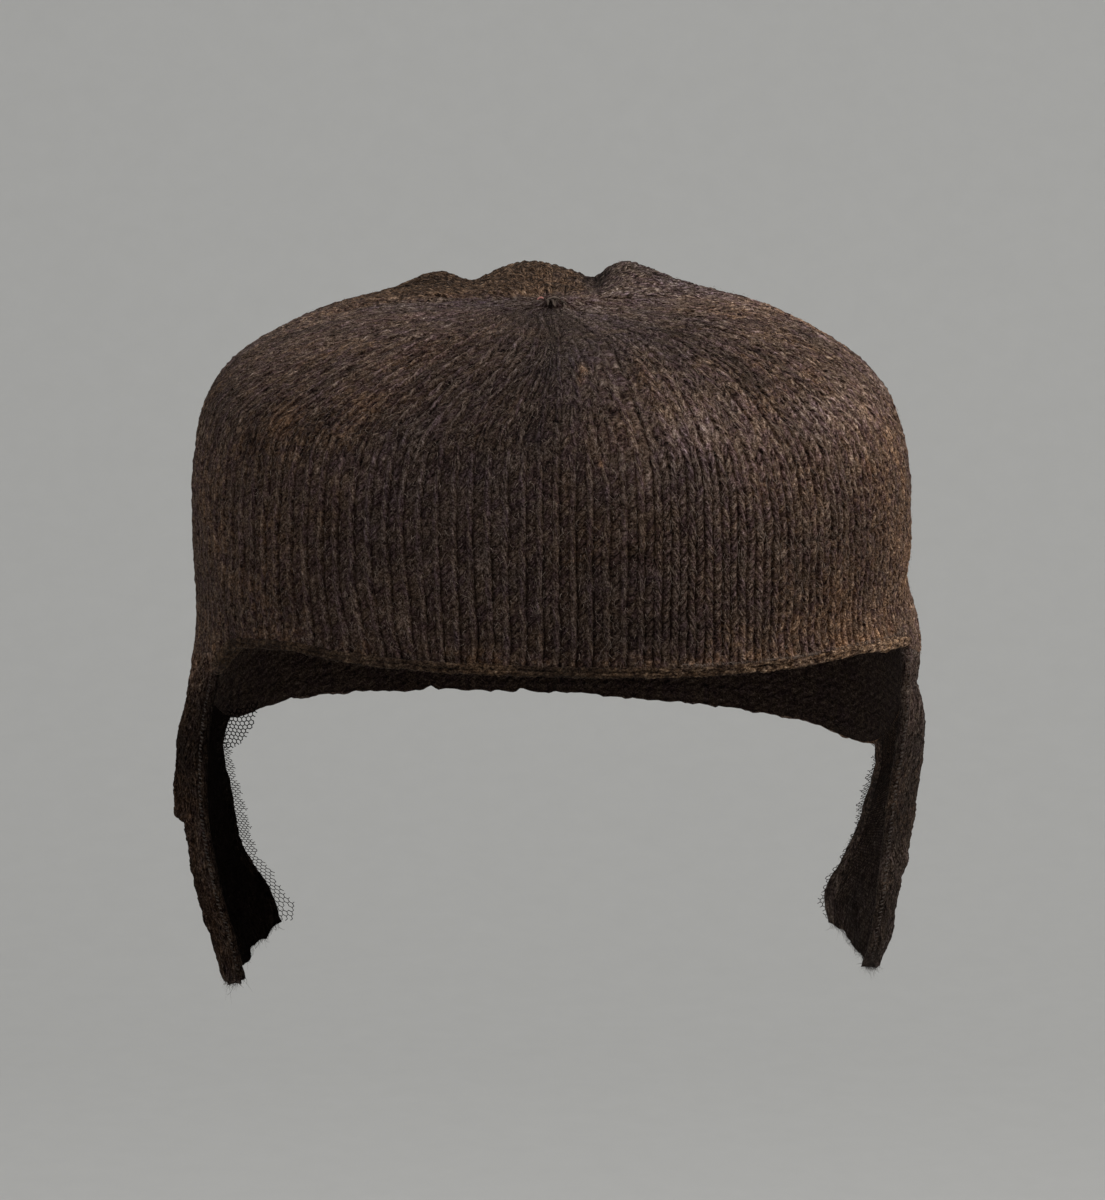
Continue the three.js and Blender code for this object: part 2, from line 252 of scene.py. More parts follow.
def plan_point(section, degrees):
    """Point of a rounded plan section (left, right, front, back) at an angle from the front."""
    angle = np.radians(degrees)
    side = np.where(np.sin(angle) > 0, section[..., 1], section[..., 0])
    depth = np.where(np.cos(angle) > 0, section[..., 2], section[..., 3])
    reach = (
        (np.abs(np.sin(angle)) / side) ** PLAN_POWER + (np.abs(np.cos(angle)) / depth) ** PLAN_POWER
    ) ** (-1 / PLAN_POWER)
    return np.stack([reach * np.sin(angle), -reach * np.cos(angle)], axis=-1)


def wall_point(z, degrees):
    """Point of the straight wall's outside at a height and an angle from the front."""
    section = smooth_value(WALL_SECTIONS[::-1], z)
    flat = plan_point(section, degrees)
    return np.concatenate([flat, np.asarray(z, float)[..., None]], axis=-1)


def wall_normal(z, degrees):
    """Level normal of the straight wall."""
    along = wall_point(z, degrees + 1) - wall_point(z, degrees - 1)
    return unit(np.stack([along[..., 1], -along[..., 0], np.zeros_like(along[..., 0])], axis=-1))


def edge_height(degrees):
    """Height of the crown's plain lower edge."""
    return smooth_value(EDGE_HEIGHTS, degrees)[..., 0]


def temple_drop(degrees):
    """How far the brow edge bends down to the left flap."""
    return 6.5 * fall(degrees, LEFT["temple"] - 1.5, LEFT["temple"] + 11) ** 1.6


def crown_edge_height(degrees):
    """Height of the knitting's lower edge: above the brow strands, and worn at the nape."""
    over_edging = smoothstep(degrees, LEFT["temple"], LEFT["temple"] + 4)
    over_edging = over_edging * (1 - smoothstep(degrees, RIGHT["temple"] - 4, RIGHT["temple"]))
    at_nape = smoothstep(np.abs(degrees), 118, 128)
    flat = np.stack([degrees * 1.5, degrees * 0, degrees * 0 + 7], axis=-1)
    worn = 0.45 * soft_noise(flat, 4, 80) + 0.35 * soft_noise(flat, 1.6, 81)
    worn = worn + 1.5 * hill(degrees, -157.2, 0.9) + 1.2 * hill(degrees, -174.3, 0.8)
    bend = temple_drop(degrees) * smoothstep(degrees, LEFT["temple"] - 1.5, LEFT["temple"] + 0.5)
    return edge_height(degrees) + (EDGING_HEIGHT + GAP) * over_edging - bend + worn * at_nape


def dome_columns(degrees, samples):
    """The dome's outside as evenly spaced points down each column, from the point to the wall."""
    through = [np.tile(np.array([0.0, 0.0, WALL]), (len(degrees), 1))]
    for row in DOME_SECTIONS:
        flat = plan_point(np.tile(row[1:], (len(degrees), 1)), degrees)
        through.append(np.concatenate([flat, np.full((len(degrees), 1), row[0])], axis=1))
    through = [2 * through[0] - through[1]] + through + [2 * through[-1] - through[-2]]
    line = []
    t = np.linspace(0, 1, 25)[:, None, None]
    for i in range(1, len(through) - 2):
        a, b, c, d = through[i - 1 : i + 3]
        gaps = [np.linalg.norm(q - p, axis=1, keepdims=True) ** 0.5 for p, q in ((a, b), (b, c), (c, d))]
        start = ((b - a) / gaps[0] - (c - a) / (gaps[0] + gaps[1]) + (c - b) / gaps[1]) * gaps[1]
        end = ((c - b) / gaps[1] - (d - b) / (gaps[1] + gaps[2]) + (d - c) / gaps[2]) * gaps[1]
        part = b + start * t + (3 * (c - b) - 2 * start - end) * t**2 + (2 * (b - c) + start + end) * t**3
        line.append(part[:-1] if i < len(through) - 3 else part)
    line = np.concatenate(line)
    steps = np.linalg.norm(np.diff(line, axis=0), axis=2)
    lengths = np.concatenate([np.zeros((1, len(degrees))), np.cumsum(steps, axis=0)])
    columns = np.empty((len(degrees), samples + 1, 3))
    for k in range(len(degrees)):
        wanted = np.linspace(0, lengths[-1, k], samples + 1)
        for axis in range(3):
            columns[k, :, axis] = np.interp(wanted, lengths[:, k], line[:, k, axis])
    return columns


# Small creases and dents of the worn top: x, y, rise, half width, half length
CREASES = [
    (11.2, 33, -1.9, 1.5, 8),
    (17.5, 38, 0.6, 3.4, 12),
    (-2, 42, -0.5, 10, 14),
    (68, -29, -1.3, 1.7, 1.5),
    (-32, 9.5, -1.7, 24, 2.8),
    (-28, 3.6, 1.0, 22, 1.7),
    (17, 3.2, 1.0, 9, 1.7),
    (-0.6, -38, -0.9, 0.9, 9),
    (0, -2, -1.0, 9, 8),
    (-36, 30, -1.2, 7, 4),
]

# Small marks of the front: x, z, size, how much lighter, how much more orange
MARKS = [
    (11.9, -23.7, 0.8, 1.2, 1.0),
    (-1.1, -73.5, 0.8, 1.0, 0.8),
    (7.6, -4.0, 1.3, 0.7, 0.9),
    (7.0, -6.0, 1.2, 0.5, 0.9),
    (-48, -12.0, 9, 0.05, 0.2),
    (-66, -17.0, 9, 0.05, 0.25),
    (53, -14.0, 5, 0.15, 0.6),
    (46, -7.0, 5, 0.0, 0.4),
]

# Lighter and darker areas of the front: x, z, half width, half height, change
SHADES = [
    (33, -17, 9, 7, 0.32),
    (72, -18, 12, 8, 0.3),
    (53, -29, 22, 8, 0.24),
    (-60, -50, 26, 15, 0.14),
    (19, -56, 8, 8, -0.16),
    (68, -56, 20, 9, -0.34),
    (-77, -5, 12, 6, 0.02),
    (-88, -18, 9, 12, -0.08),
    (-72, -21, 12, 8, -0.2),
    (56, -6, 30, 8, -0.26),
    (-3, -33, 14, 12, 0.16),
    (-47, -68, 14, 7, 0.2),
    (60, -43, 30, 13, -0.2),
    (-86, -68, 12, 11, -0.16),
    (-34, -61, 12, 7, 0.2),
    (27, -67, 20, 8, -0.42),
    (38, -7, 18, 8, -0.14),
    (74, -9, 12, 8, -0.12),
    (46, -17, 7, 7, -0.12),
    (-33, -6, 14, 7, 0.1),
]


def pucker_rise(x, y):
    """How far the puckers and creases lift the top."""
    rise = 0
    for px, py, high, across, along in PUCKERS + CREASES:
        rise = rise + high * np.exp(-0.5 * (((x - px) / across) ** 2 + ((y - py) / along) ** 2))
    return rise


def on_puckers(points):
    """1 on the puckers behind the point and 0 beside them."""
    return smoothstep(pucker_rise(points[..., 0], points[..., 1]), 0.6, 2)


def before_back(degrees):
    """1 at the front and the sides and 0 at the back."""
    return fall(degrees, 110, 175)


class Crown:
    """The crown's plain outside as a fine table over angle and round, with its normals."""

    step = 0.5
    rows_per_course = 8

    def __init__(self):
        degrees = np.arange(-180, 180, self.step)
        dome_rows = int(DOME_COURSES * self.rows_per_course)
        dome = dome_columns(degrees, dome_rows)
        wall_rows = int((DEEPEST_COURSE - DOME_COURSES) * self.rows_per_course)
        down = np.arange(1, wall_rows + 1) / self.rows_per_course * COURSE
        z = np.tile(WALL_SECTIONS[0, 0] - down, (len(degrees), 1))
        wall = wall_point(z, np.tile(degrees[:, None], (1, wall_rows)))
        table = np.concatenate([dome, wall], axis=1)
        lift = smoothstep(table[..., 2], -16, -2)
        table[..., 2] += pucker_rise(table[..., 0], table[..., 1]) * lift
        around = np.roll(table, -1, axis=0) - np.roll(table, 1, axis=0)
        down = np.gradient(table, axis=1)
        normals = np.cross(down, around)
        normals[:, 0] = (0, 0, 1)
        self.table = table
        self.normals = unit(normals)

    def _sample(self, table, degrees, course):
        i = (degrees + 180) / self.step
        j = np.clip(course * self.rows_per_course, 0, table.shape[1] - 1.001)
        i0 = np.floor(i).astype(int)
        j0 = np.floor(j).astype(int)
        a = (i - i0)[..., None]
        b = (j - j0)[..., None]
        n = table.shape[0]
        top = mix(table[i0 % n, j0], table[(i0 + 1) % n, j0], a)
        low = mix(table[i0 % n, j0 + 1], table[(i0 + 1) % n, j0 + 1], a)
        return mix(top, low, b)

    def point(self, degrees, course):
        return self._sample(self.table, degrees, course)

    def normal(self, degrees, course):
        return unit(self._sample(self.normals, degrees, course))


crown = Crown()


def lean(degrees, course):
    """How far the wales are out of their own angle, in degrees.

    Those of the left front lean in to the middle as they climb, and a few are pulled aside low down.
    """
    high = fall(course, 20, 39) * smoothstep(course, 3, 12)
    pulled = 2.1 * hill(degrees, -30, 11) * smoothstep(course, 51, 61.5)
    return 9.5 * fall(degrees, -15, 4) * smoothstep(degrees, -125, -70) * high + pulled


def wander(points, reach):
    """Sideways wobble of the wales, in degrees."""
    sideways = 0.62 * soft_noise(points, 17, 3) + 0.36 * soft_noise(points, 6, 4)
    sideways = sideways + 0.2 * soft_noise(points, 2.6, 23)
    return sideways / np.maximum(reach, 5) * DEGREES_IN_RADIAN


def course_at(z):
    """Round at a height of the straight wall."""
    return DOME_COURSES + (WALL_SECTIONS[0, 0] - z) / COURSE


def from_foot(wale, even=0.0):
    """How far out from the foot of its stitch's V a place is, from 0 to 1 on either leg."""
    within = wale - np.floor(wale)
    split = mix(LEFT_SHARE, 0.5, even)
    right = within >= split
    return np.where(right, (within - split) / (1 - split), 1 - within / split), right


def tilt_of(right, even):
    """Rounds that a leg climbs across its own width."""
    return np.where(right, RIGHT_TILT, mix(LEFT_TILT, EVEN_TILT, even))


def stitch(wale, course, even=0.0, drawn=0.0):
    """Plain knitting's height, from 0 in the grooves to 1.

    Where it is uneven, each stitch's left leg stands up as a narrow, nearly upright line. Its right
    leg is broader and lower, and shows as slanting rungs, and the groove between the two is deeper
    than the one beside them. Where it is drawn out, the two legs run together into one line.
    """
    out, right = from_foot(wale, even)
    place = course + tilt_of(right, even) * out
    row = np.floor(place)
    along = place - row
    leg = 2 * np.floor(wale) + right
    between = np.stack([np.floor(wale + 0.5) * 7.3, course * 0.2, course * 0 + 1.5], axis=-1)
    uneven = 1 + 0.5 * soft_noise(between, 1, 94)
    lively = 0.8 + 0.4 * chance(leg, row, 1)
    rung = 1 - np.abs(2 * along - 1) ** 2.2
    plies = 0.5 - 0.5 * np.cos(4 * math.pi * along)
    share = np.where(right, 0.68, mix(0.16, 0.5, even)) * lively * (1 - 0.65 * drawn)
    outer_side = mix(np.where(right, 0.55, 0.45), 0.95, np.maximum(even, drawn))
    side = np.where(out < 0.5, 1 - 0.6 * drawn, np.clip(outer_side * uneven, 0, 1.15))
    across = np.where(right, mix(0.86, 1.0, even), 1.0) * (1 - side * np.abs(2 * out - 1) ** 2.3)
    across = np.maximum(across, -0.1)
    rungs = np.where(right, mix(0.5, 0.8, even) * rung + mix(0.5, 0.2, even) * plies, rung)
    return across * (1 - share + share * rungs) * (0.86 + 0.2 * chance(leg, row, 2))


def evenness(degrees):
    """Where both legs of the stitches look alike: on the right and at the back."""
    return np.maximum(smoothstep(degrees, 9, 19), fall(degrees, -110, -75))


def drawing_out(degrees, course):
    """Where the stitches are drawn out so far that little but lines along the wales shows."""
    sides = 0.57 * smoothstep(degrees, 0, 28) + 0.1 * fall(degrees, -30, 0)
    dome = (0.35 + sides) * fall(course, 36, 46)
    return np.maximum(dome, 0.55 * smoothstep(degrees, 5, 45) * fall(degrees, 130, 175))


def streaks(turn, course):
    """Lights and darks that run along the wales, from about -1 to 1. There are none at the back."""
    place = np.stack([turn * WALES * STITCH_WIDTH, course * 0.3, course * 0 + 2.5], axis=-1)
    value = 0.7 * soft_noise(place, 1.5, 90) + 0.6 * soft_noise(place * (1, 0.6, 1), 3.4, 91)
    return value * fall(np.abs(turn * 360 - 180), 110, 170)


def knitting(turn, course, points):
    """Height of the stitches and how many there are round the cap, at shares of the turn."""
    count = np.full(course.shape, float(WALES))
    even = evenness(turn * 360 - 180)
    drawn = drawing_out(turn * 360 - 180, course)
    height = stitch(turn * WALES, course, even, drawn)
    loose = soft_noise(points, 7, 10)
    for start, wales in DECREASES:
        above = smoothstep(start - course + 1.6 * loose, -0.5, 0.5)
        height = mix(height, stitch(turn * wales, course, even, drawn), above)
        count = np.where(above > 0.5, wales, count)
    return height, count


def mesh_object(
    name, points, faces, material, points_data=None, faces_data=None, uv=None, normals=None
):
    """A piece from points in millimetres and faces of three or four corners each."""
    faces = np.asarray(faces, np.int32)
    corners = faces.shape[1]
    mesh = bpy.data.meshes.new(name)
    mesh.vertices.add(len(points))
    mesh.vertices.foreach_set("co", (np.asarray(points) * 0.001).astype(np.float32).ravel())
    mesh.loops.add(faces.size)
    mesh.loops.foreach_set("vertex_index", faces.ravel())
    mesh.polygons.add(len(faces))
    mesh.polygons.foreach_set("loop_start", np.arange(0, faces.size, corners, dtype=np.int32))
    mesh.polygons.foreach_set("use_smooth", np.ones(len(faces), bool))
    if uv is not None:
        layer = mesh.uv_layers.new(name="strand")
        layer.data.foreach_set("uv", np.asarray(uv, np.float32).ravel())
    for domain, data in (("POINT", points_data), ("FACE", faces_data)):
        for key, values in (data or {}).items():
            attribute = mesh.attributes.new(name=key, type="FLOAT", domain=domain)
            attribute.data.foreach_set("value", np.asarray(values, np.float32).ravel())
    mesh.update(calc_edges=True)
    if normals is not None:
        mesh.normals_split_custom_set_from_vertices(np.asarray(normals, np.float32))
    mesh.materials.append(material)
    piece = bpy.data.objects.new(name, mesh)
    bpy.context.scene.collection.objects.link(piece)
    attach(piece, "root")
    return piece


def grid_faces(columns, rows, closed=False, flip=False):
    """Faces of a grid of points that is stored column by column."""
    across = np.arange(columns if closed else columns - 1)
    down = np.arange(rows - 1)
    i, j = np.meshgrid(across, down, indexing="ij")
    following = (i + 1) % columns
    faces = np.stack([i * rows + j, i * rows + j + 1, following * rows + j + 1, following * rows + j], -1)
    faces = faces.reshape(-1, 4)
    return faces[:, ::-1] if flip else faces


def to_triangles(faces):
    """Splits faces of four corners and drops the triangles that have collapsed."""
    split = np.concatenate([faces[:, [0, 1, 2]], faces[:, [0, 2, 3]]])
    alive = (split[:, 0] != split[:, 1]) & (split[:, 1] != split[:, 2]) & (split[:, 2] != split[:, 0])
    return split[alive]


def reached_grid(columns, rows, last):
    """Indices of a grid of points, where each column stops at its last row and repeats that."""
    index = np.arange(columns * rows).reshape(columns, rows)
    keep = np.arange(rows)[None, :] <= last[:, None]
    return np.where(keep, index, index[np.arange(columns), last][:, None])


def index_faces(index, inward=False):
    """Triangles of a grid of indices, which face out of the cap or into it."""
    corners = [index[:-1, :-1], index[:-1, 1:], index[1:, 1:], index[1:, :-1]]
    if inward:
        corners = corners[:1] + corners[:0:-1]
    return to_triangles(np.stack(corners, -1).reshape(-1, 4))


def only_used(points, faces, points_data):
    """Drops the points that no face uses."""
    used, faces = np.unique(faces.ravel(), return_inverse=True)
    return points[used], faces.reshape(-1, 3), {key: values[used] for key, values in points_data.items()}


def grid_normals(points):
    """Normals of a grid of points from its neighbours, facing out of the cap."""
    return unit(np.cross(np.gradient(points, axis=1), np.gradient(points, axis=0)))


def felting(points, degrees, course):
    """The crown's felting, from 0 for crisp stitches to 1 for a smooth fulled surface."""
    y, z = points[..., 1], points[..., 2]
    value = 0.14 + 0.42 * fall(degrees, -78, -45) * (np.abs(degrees) < 130)
    value = value + 0.1 * fall(course, 15, 24) - 0.14 * smoothstep(degrees, 5, 40) * (degrees < 130)
    value = value + 0.18 * smoothstep(np.abs(degrees), 80, 140)
    behind_point = smoothstep(y, 1, 9) * smoothstep(z, -20, -6)
    value = value + 0.55 * behind_point * (1 - 0.3 * on_puckers(points))
    value = value + 0.2 * soft_noise(points, 13, 1) + 0.12 * soft_noise(points, 5, 2)
    return np.clip(value, 0, 1)


def vividness(points, degrees):
    """How strongly the wool's lights and darks stand out."""
    z = points[..., 2]
    right = smoothstep(degrees, 8, 25) * before_back(degrees)
    return 1 + 0.6 * smoothstep(z, -34, -8) + 0.3 * right + on_puckers(points) * smoothstep(z, -16, -9)


def crown_relief(base):
    """The crown's soft lumps and the fuzz of its wool, both in millimetres."""
    lumps = 0.5 * soft_noise(base, 30, 11) + 0.26 * soft_noise(base, 11, 12)
    fuzz = 0.16 * soft_noise(base, 2.1, 13) + 0.3 * soft_noise(base, 1.05, 14)
    return lumps, fuzz


def tone_shade_and_warmth(points, degrees):
    """How light the wool is and how orange, over the crown, with painted shade in the hollows by the puckers
    and behind the fold.
    """
    x, y, z = points[..., 0], points[..., 1], points[..., 2]
    top = smoothstep(z, -16, -9)
    front = fall(y, 0, 8)

    def on_top(centre_x, centre_y, half_x, half_y):
        """A soft patch of the dome's top."""
        return top * hill(x, centre_x, half_x) * hill(y, centre_y, half_y)

    def on_front(centre_x, centre_z, half_x, half_z):
        """A soft patch of the front."""
        return front * hill(x, centre_x, half_x) * hill(z, centre_z, half_z)

    # Lighter round to the right, on the upper left and least at the back, darker on the puckers
    high = smoothstep(z, -45, -15)
    bumps = on_puckers(points) * (z > -8)
    ahead = before_back(degrees)
    tone = 1.1 + ahead * (1.2 * smoothstep(degrees, 2, 32) + 0.3 * smoothstep(degrees, 25, 62))
    tone = tone + 0.14 * fall(degrees, -55, -20) + 0.26 * fall(degrees, -30, 0) * high
    tone = tone * (1 - 0.43 * bumps * (x < 12) - 0.22 * bumps * (x >= 12))
    tone = tone * (1 + 0.12 * soft_noise(points, 19, 6) + 0.12 * soft_noise(points, 6, 7))
    warm = 0.3 + 0.6 * smoothstep(degrees, 15, 60) * ahead * fall(z, -30, -12)
    warm = warm + 0.5 * bumps * fall(x, 6, 12)
    warm = warm + 0.4 * soft_noise(points, 21, 8) + 0.3 * soft_noise(points, 7, 9)
    # Greyer in the middle of the dome's front and on the right pucker, browner to both sides
    warm = warm - 0.4 * hill(x, -8, 34) * smoothstep(z, -40, -22) * front
    warm = warm - 0.5 * on_front(30, -27, 10, 9) - 0.55 * on_top(33, 26, 15, 16)
    warm = warm + 0.35 * fall(x, -82, -55) * front + 0.3 * top * smoothstep(x, 30, 60)
    # Painted shade behind the fold that runs left from the point, where the wool is also browner
    behind = top * smoothstep(y, 5.0, 7.5) * fall(x, -6, 0) * smoothstep(x, -66, -50)
    tone = tone * (1 - 0.36 * behind)
    patchy = 0.5 + 0.9 * soft_noise(points, 6, 95)
    warm = warm + 0.55 * behind + 0.6 * bumps * fall(x, 4, 12) * patchy
    warm = warm + 0.55 * on_front(27, -5, 17, 8) * patchy
    tone = tone * (1 - 0.25 * bumps * soft_noise(points, 4.5, 96))
    # Darker to the right of the point, and in a band where the left of the dome turns down
    tone = tone * (1 - 0.5 * on_top(26, -28, 25, 36)) * (1 - 0.12 * on_top(-2, -6, 16, 26))
    tone = tone * (1 + 0.12 * on_top(-42, -38, 20, 20))
    tone = tone * (1 - 0.3 * hill(z, -18.5, 9) * fall(x, -10, 24) * front)
    for *area, change in SHADES:
        tone = tone * (1 + change * on_front(*area))
    # Painted shadow in the hollow on the near side of the right pucker, and painted shade beside the left
    # one
    tone = tone * (1 - 0.45 * on_top(13.5, 30, 5, 14))
    tone = tone * (1 - 0.4 * hill(x, -31, 8) * hill(y, 30, 7) * (z > -8))
    for mark_x, mark_z, size, lighter, oranger in MARKS:
        near = hill(x, mark_x, size) * hill(z, mark_z, size) * (y < 0)
        tone = tone + lighter * near
        warm = warm + oranger * near
    return tone, np.clip(warm, -1, 1.5)


def knit_shell(name, first_wale, last_wale, columns_per_wale, rows_per_course, material):
    """Part of the crown's outside in stitches, down to its rolled lower edge."""
    # One column more at each side than the piece shows, so that normals run on to the next piece
    columns = (last_wale - first_wale) * columns_per_wale + 3
    wale = first_wale + (np.arange(columns) - 1) / columns_per_wale
    degrees = -180 + wale * 360 / WALES
    ends = course_at(crown_edge_height(np.clip(degrees, -180, 180)))
    rows = int((ends.max() + 1.2 - POINT_COURSES) * rows_per_course) + 1
    row_course = POINT_COURSES + np.arange(rows) / rows_per_course
    wale, course = np.meshgrid(wale, row_course, indexing="ij")
    degrees = np.repeat(degrees[:, None], rows, axis=1)
    ends = np.repeat(ends[:, None], rows, axis=1)
    out, _ = from_foot(wale, evenness(degrees))
    slant = smoothstep(course, 36, 39) * smoothstep(ends - course, 0, 2.5)
    course = np.minimum(course - RIGHT_TILT * out * slant, ends)
    first_over = np.argmax(course >= ends, axis=1)

    plain = crown.point(degrees, course)
    felt = felting(plain, degrees, course)
    wobble = wander(plain, np.hypot(plain[..., 0], plain[..., 1]))
    moved = degrees + wobble * smoothstep(ends - course, 0, 3) + lean(degrees, course)
    lowered = course + 0.22 * soft_noise(plain, 9, 5) * smoothstep(ends - course, 0, 3)
    base = crown.point(moved, lowered)
    normal = crown.normal(moved, lowered)

    height, count = knitting(wale / WALES, course, plain)
    bridged = smoothstep(soft_noise(plain, 3.1, 24) + 0.5 * soft_noise(plain, 1.4, 25), 0.0, 0.9)
    crisp = (1 - 0.7 * felt) * (1 - 0.4 * bridged)
    crisp = crisp * (1 + 0.12 * smoothstep(degrees, 8, 25) * before_back(degrees))
    crisp = crisp * (1 + 0.2 * fall(degrees, -8, 0) * smoothstep(degrees, -62, -42) * fall(course, 34, 42))
    crisp = crisp * (1 - 0.35 * fall(course, 28, 36) * smoothstep(degrees, -5, 8) * fall(degrees, 35, 55))
    groove = crisp * (1 - height)
    lumps, fuzz = crown_relief(base)
    # A level crease across the right of the front
    crease = hill(base[..., 2] + 0.7 * soft_noise(base, 6, 27), -46.4, 0.75)
    lumps = lumps - 0.7 * crease * smoothstep(degrees, 35, 40) * fall(degrees, 58, 64)
    streak = streaks(wale / WALES, course)
    on_dome = fall(course, 38, 50) * (1 + 0.4 * smoothstep(degrees, 10, 50))
    streak = streak * (on_dome + 0.4 * smoothstep(degrees, 10, 40) * smoothstep(course, 38, 50))
    fuzz = fuzz + 0.12 * soft_noise(base, 0.6, 26) + STREAK_RELIEF * streak
    rise = lumps * smoothstep(ends - course, 0, 6) - GROOVE_DEPTH * groove + fuzz + 0.1
    shown = base + normal * rise[..., None]
    # Painted shade in the grooves between the legs: the deeper the groove, the darker
    cavity = np.clip(1 - GROOVE_DARKNESS * groove, 0, 1)

    # The edge rolls over to the inside
    edge = base[np.arange(columns), first_over]
    outward = normal[np.arange(columns), first_over]
    rag = 0.5 * soft_noise(edge, 3, 15) + 0.4 * soft_noise(edge, 1.2, 16)
    over_brow = fall(np.abs(degrees[:, 0]), 60, 72)
    hang = 0.55 + 0.95 * rag + (0.2 + 0.6 * rag) * over_brow
    rolled = []
    for turn in np.radians([30, 60, 90, 120, 150, 180]):
        place = edge - outward * (WALL / 2 * (1 - math.cos(turn)))
        place[:, 2] -= hang * math.sin(turn)
        rolled.append(place + 0.12 * soft_noise(place, 1.1, 17)[:, None] * outward)
    rolled = np.stack(rolled, axis=1)
    roll_rows = rolled.shape[1]
    roll_out = unit(rolled - (edge - outward * WALL / 2)[:, None])
    roll_index = columns * rows + np.arange(columns * roll_rows).reshape(columns, -1)
    index = np.concatenate([reached_grid(columns, rows, first_over), roll_index], axis=1)
    faces = index_faces(index[1:-1])

    points = np.concatenate([shown.reshape(-1, 3), rolled.reshape(-1, 3)])
    tone, warm = tone_shade_and_warmth(base, degrees)
    tone = tone * (1 + STREAK_LIGHT * streak)
    # The rounds next to the brow's strands are lighter and more orange in places
    lighter_by_brow = smoothstep(course - ends, -2.4, -0.3) * smoothstep(degrees, -64, -50) * fall(degrees, 60, 70)
    lighter_by_brow = lighter_by_brow * np.clip(0.35 + 1.1 * soft_noise(base, 3.2, 92) + 0.5 * soft_noise(base, 1.3, 93), 0, 1)
    tone = tone * (1 + 0.3 * lighter_by_brow * (0.4 + 0.6 * smoothstep(degrees, 10, 45)))
    warm = warm + 0.6 * lighter_by_brow
    roll_degrees = np.repeat(degrees[:, :1], roll_rows, axis=1)
    roll_tone, roll_warm = tone_shade_and_warmth(rolled, roll_degrees)
    roll_tone = roll_tone * (0.7 + 0.3 * smoothstep(np.abs(roll_degrees), 70, 80))
    roll_open = 0.7 + 0.5 * soft_noise(rolled, 1.3, 28) + 0.3 * soft_noise(rolled, 0.8, 29)
    ones = np.ones(roll_tone.shape)
    data = {
        "open": (cavity, np.clip(roll_open, 0.1, 1)),
        "tone": (tone, roll_tone),
        "warm": (warm, roll_warm),
        "felt": (felt, ones),
        "vivid": (vividness(base, degrees), ones),
        "turn": (wale / WALES, wale[:, :1] / WALES * ones),
        "count": (count, WALES * ones),
        "course": (course, ends[:, :1] + np.arange(1, roll_rows + 1) * 0.3),
    }
    data = {key: np.concatenate([a.ravel(), b.ravel()]) for key, (a, b) in data.items()}
    data["normal"] = np.concatenate([grid_normals(shown).reshape(-1, 3), roll_out.reshape(-1, 3)])
    points, faces, data = only_used(points, faces, data)
    normals = data.pop("normal")
    uv, tint = strand_layout(data.pop("turn"), data.pop("count"), data.pop("course"), faces)
    piece = mesh_object(name, points, faces, material, data, {"tint": tint}, uv, normals)
    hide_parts("crown")
    return piece


def strand_layout(turn, count, course, faces):
    """Places in millimetres across and along each leg's own strand, and a tint for each stitch."""
    count = count[faces[:, 0]]
    wale = turn[faces] * count[:, None]
    middle_course = course[faces].mean(axis=1)
    middle = wale.mean(axis=1)
    column = np.floor(middle)
    even = evenness(turn[faces[:, 0]] * 360 - 180)
    middle_out, right = from_foot(middle, even)
    tilt = tilt_of(right, even)
    split = mix(LEFT_SHARE, 0.5, even)
    span = np.where(right, 1 - split, split) * STITCH_WIDTH
    angle = np.arctan2(span, tilt * COURSE)[:, None]
    out = np.abs(wale - (column + split)[:, None]) * STITCH_WIDTH
    up = -np.maximum(course[faces], mix(STROKES_ABOVE, course[faces], 0.5)) * COURSE
    along = out * np.sin(angle) + up * np.cos(angle)
    across = out * np.cos(angle) - up * np.sin(angle)
    shift = (column * 3.7 + right * 1.3)[:, None]
    uv = np.stack([across + shift, along + shift * 2.1], axis=-1)
    place = middle_course + tilt * middle_out
    tint = chance(2 * column + right, np.floor(place), 3)
    return uv.reshape(-1, 2), tint


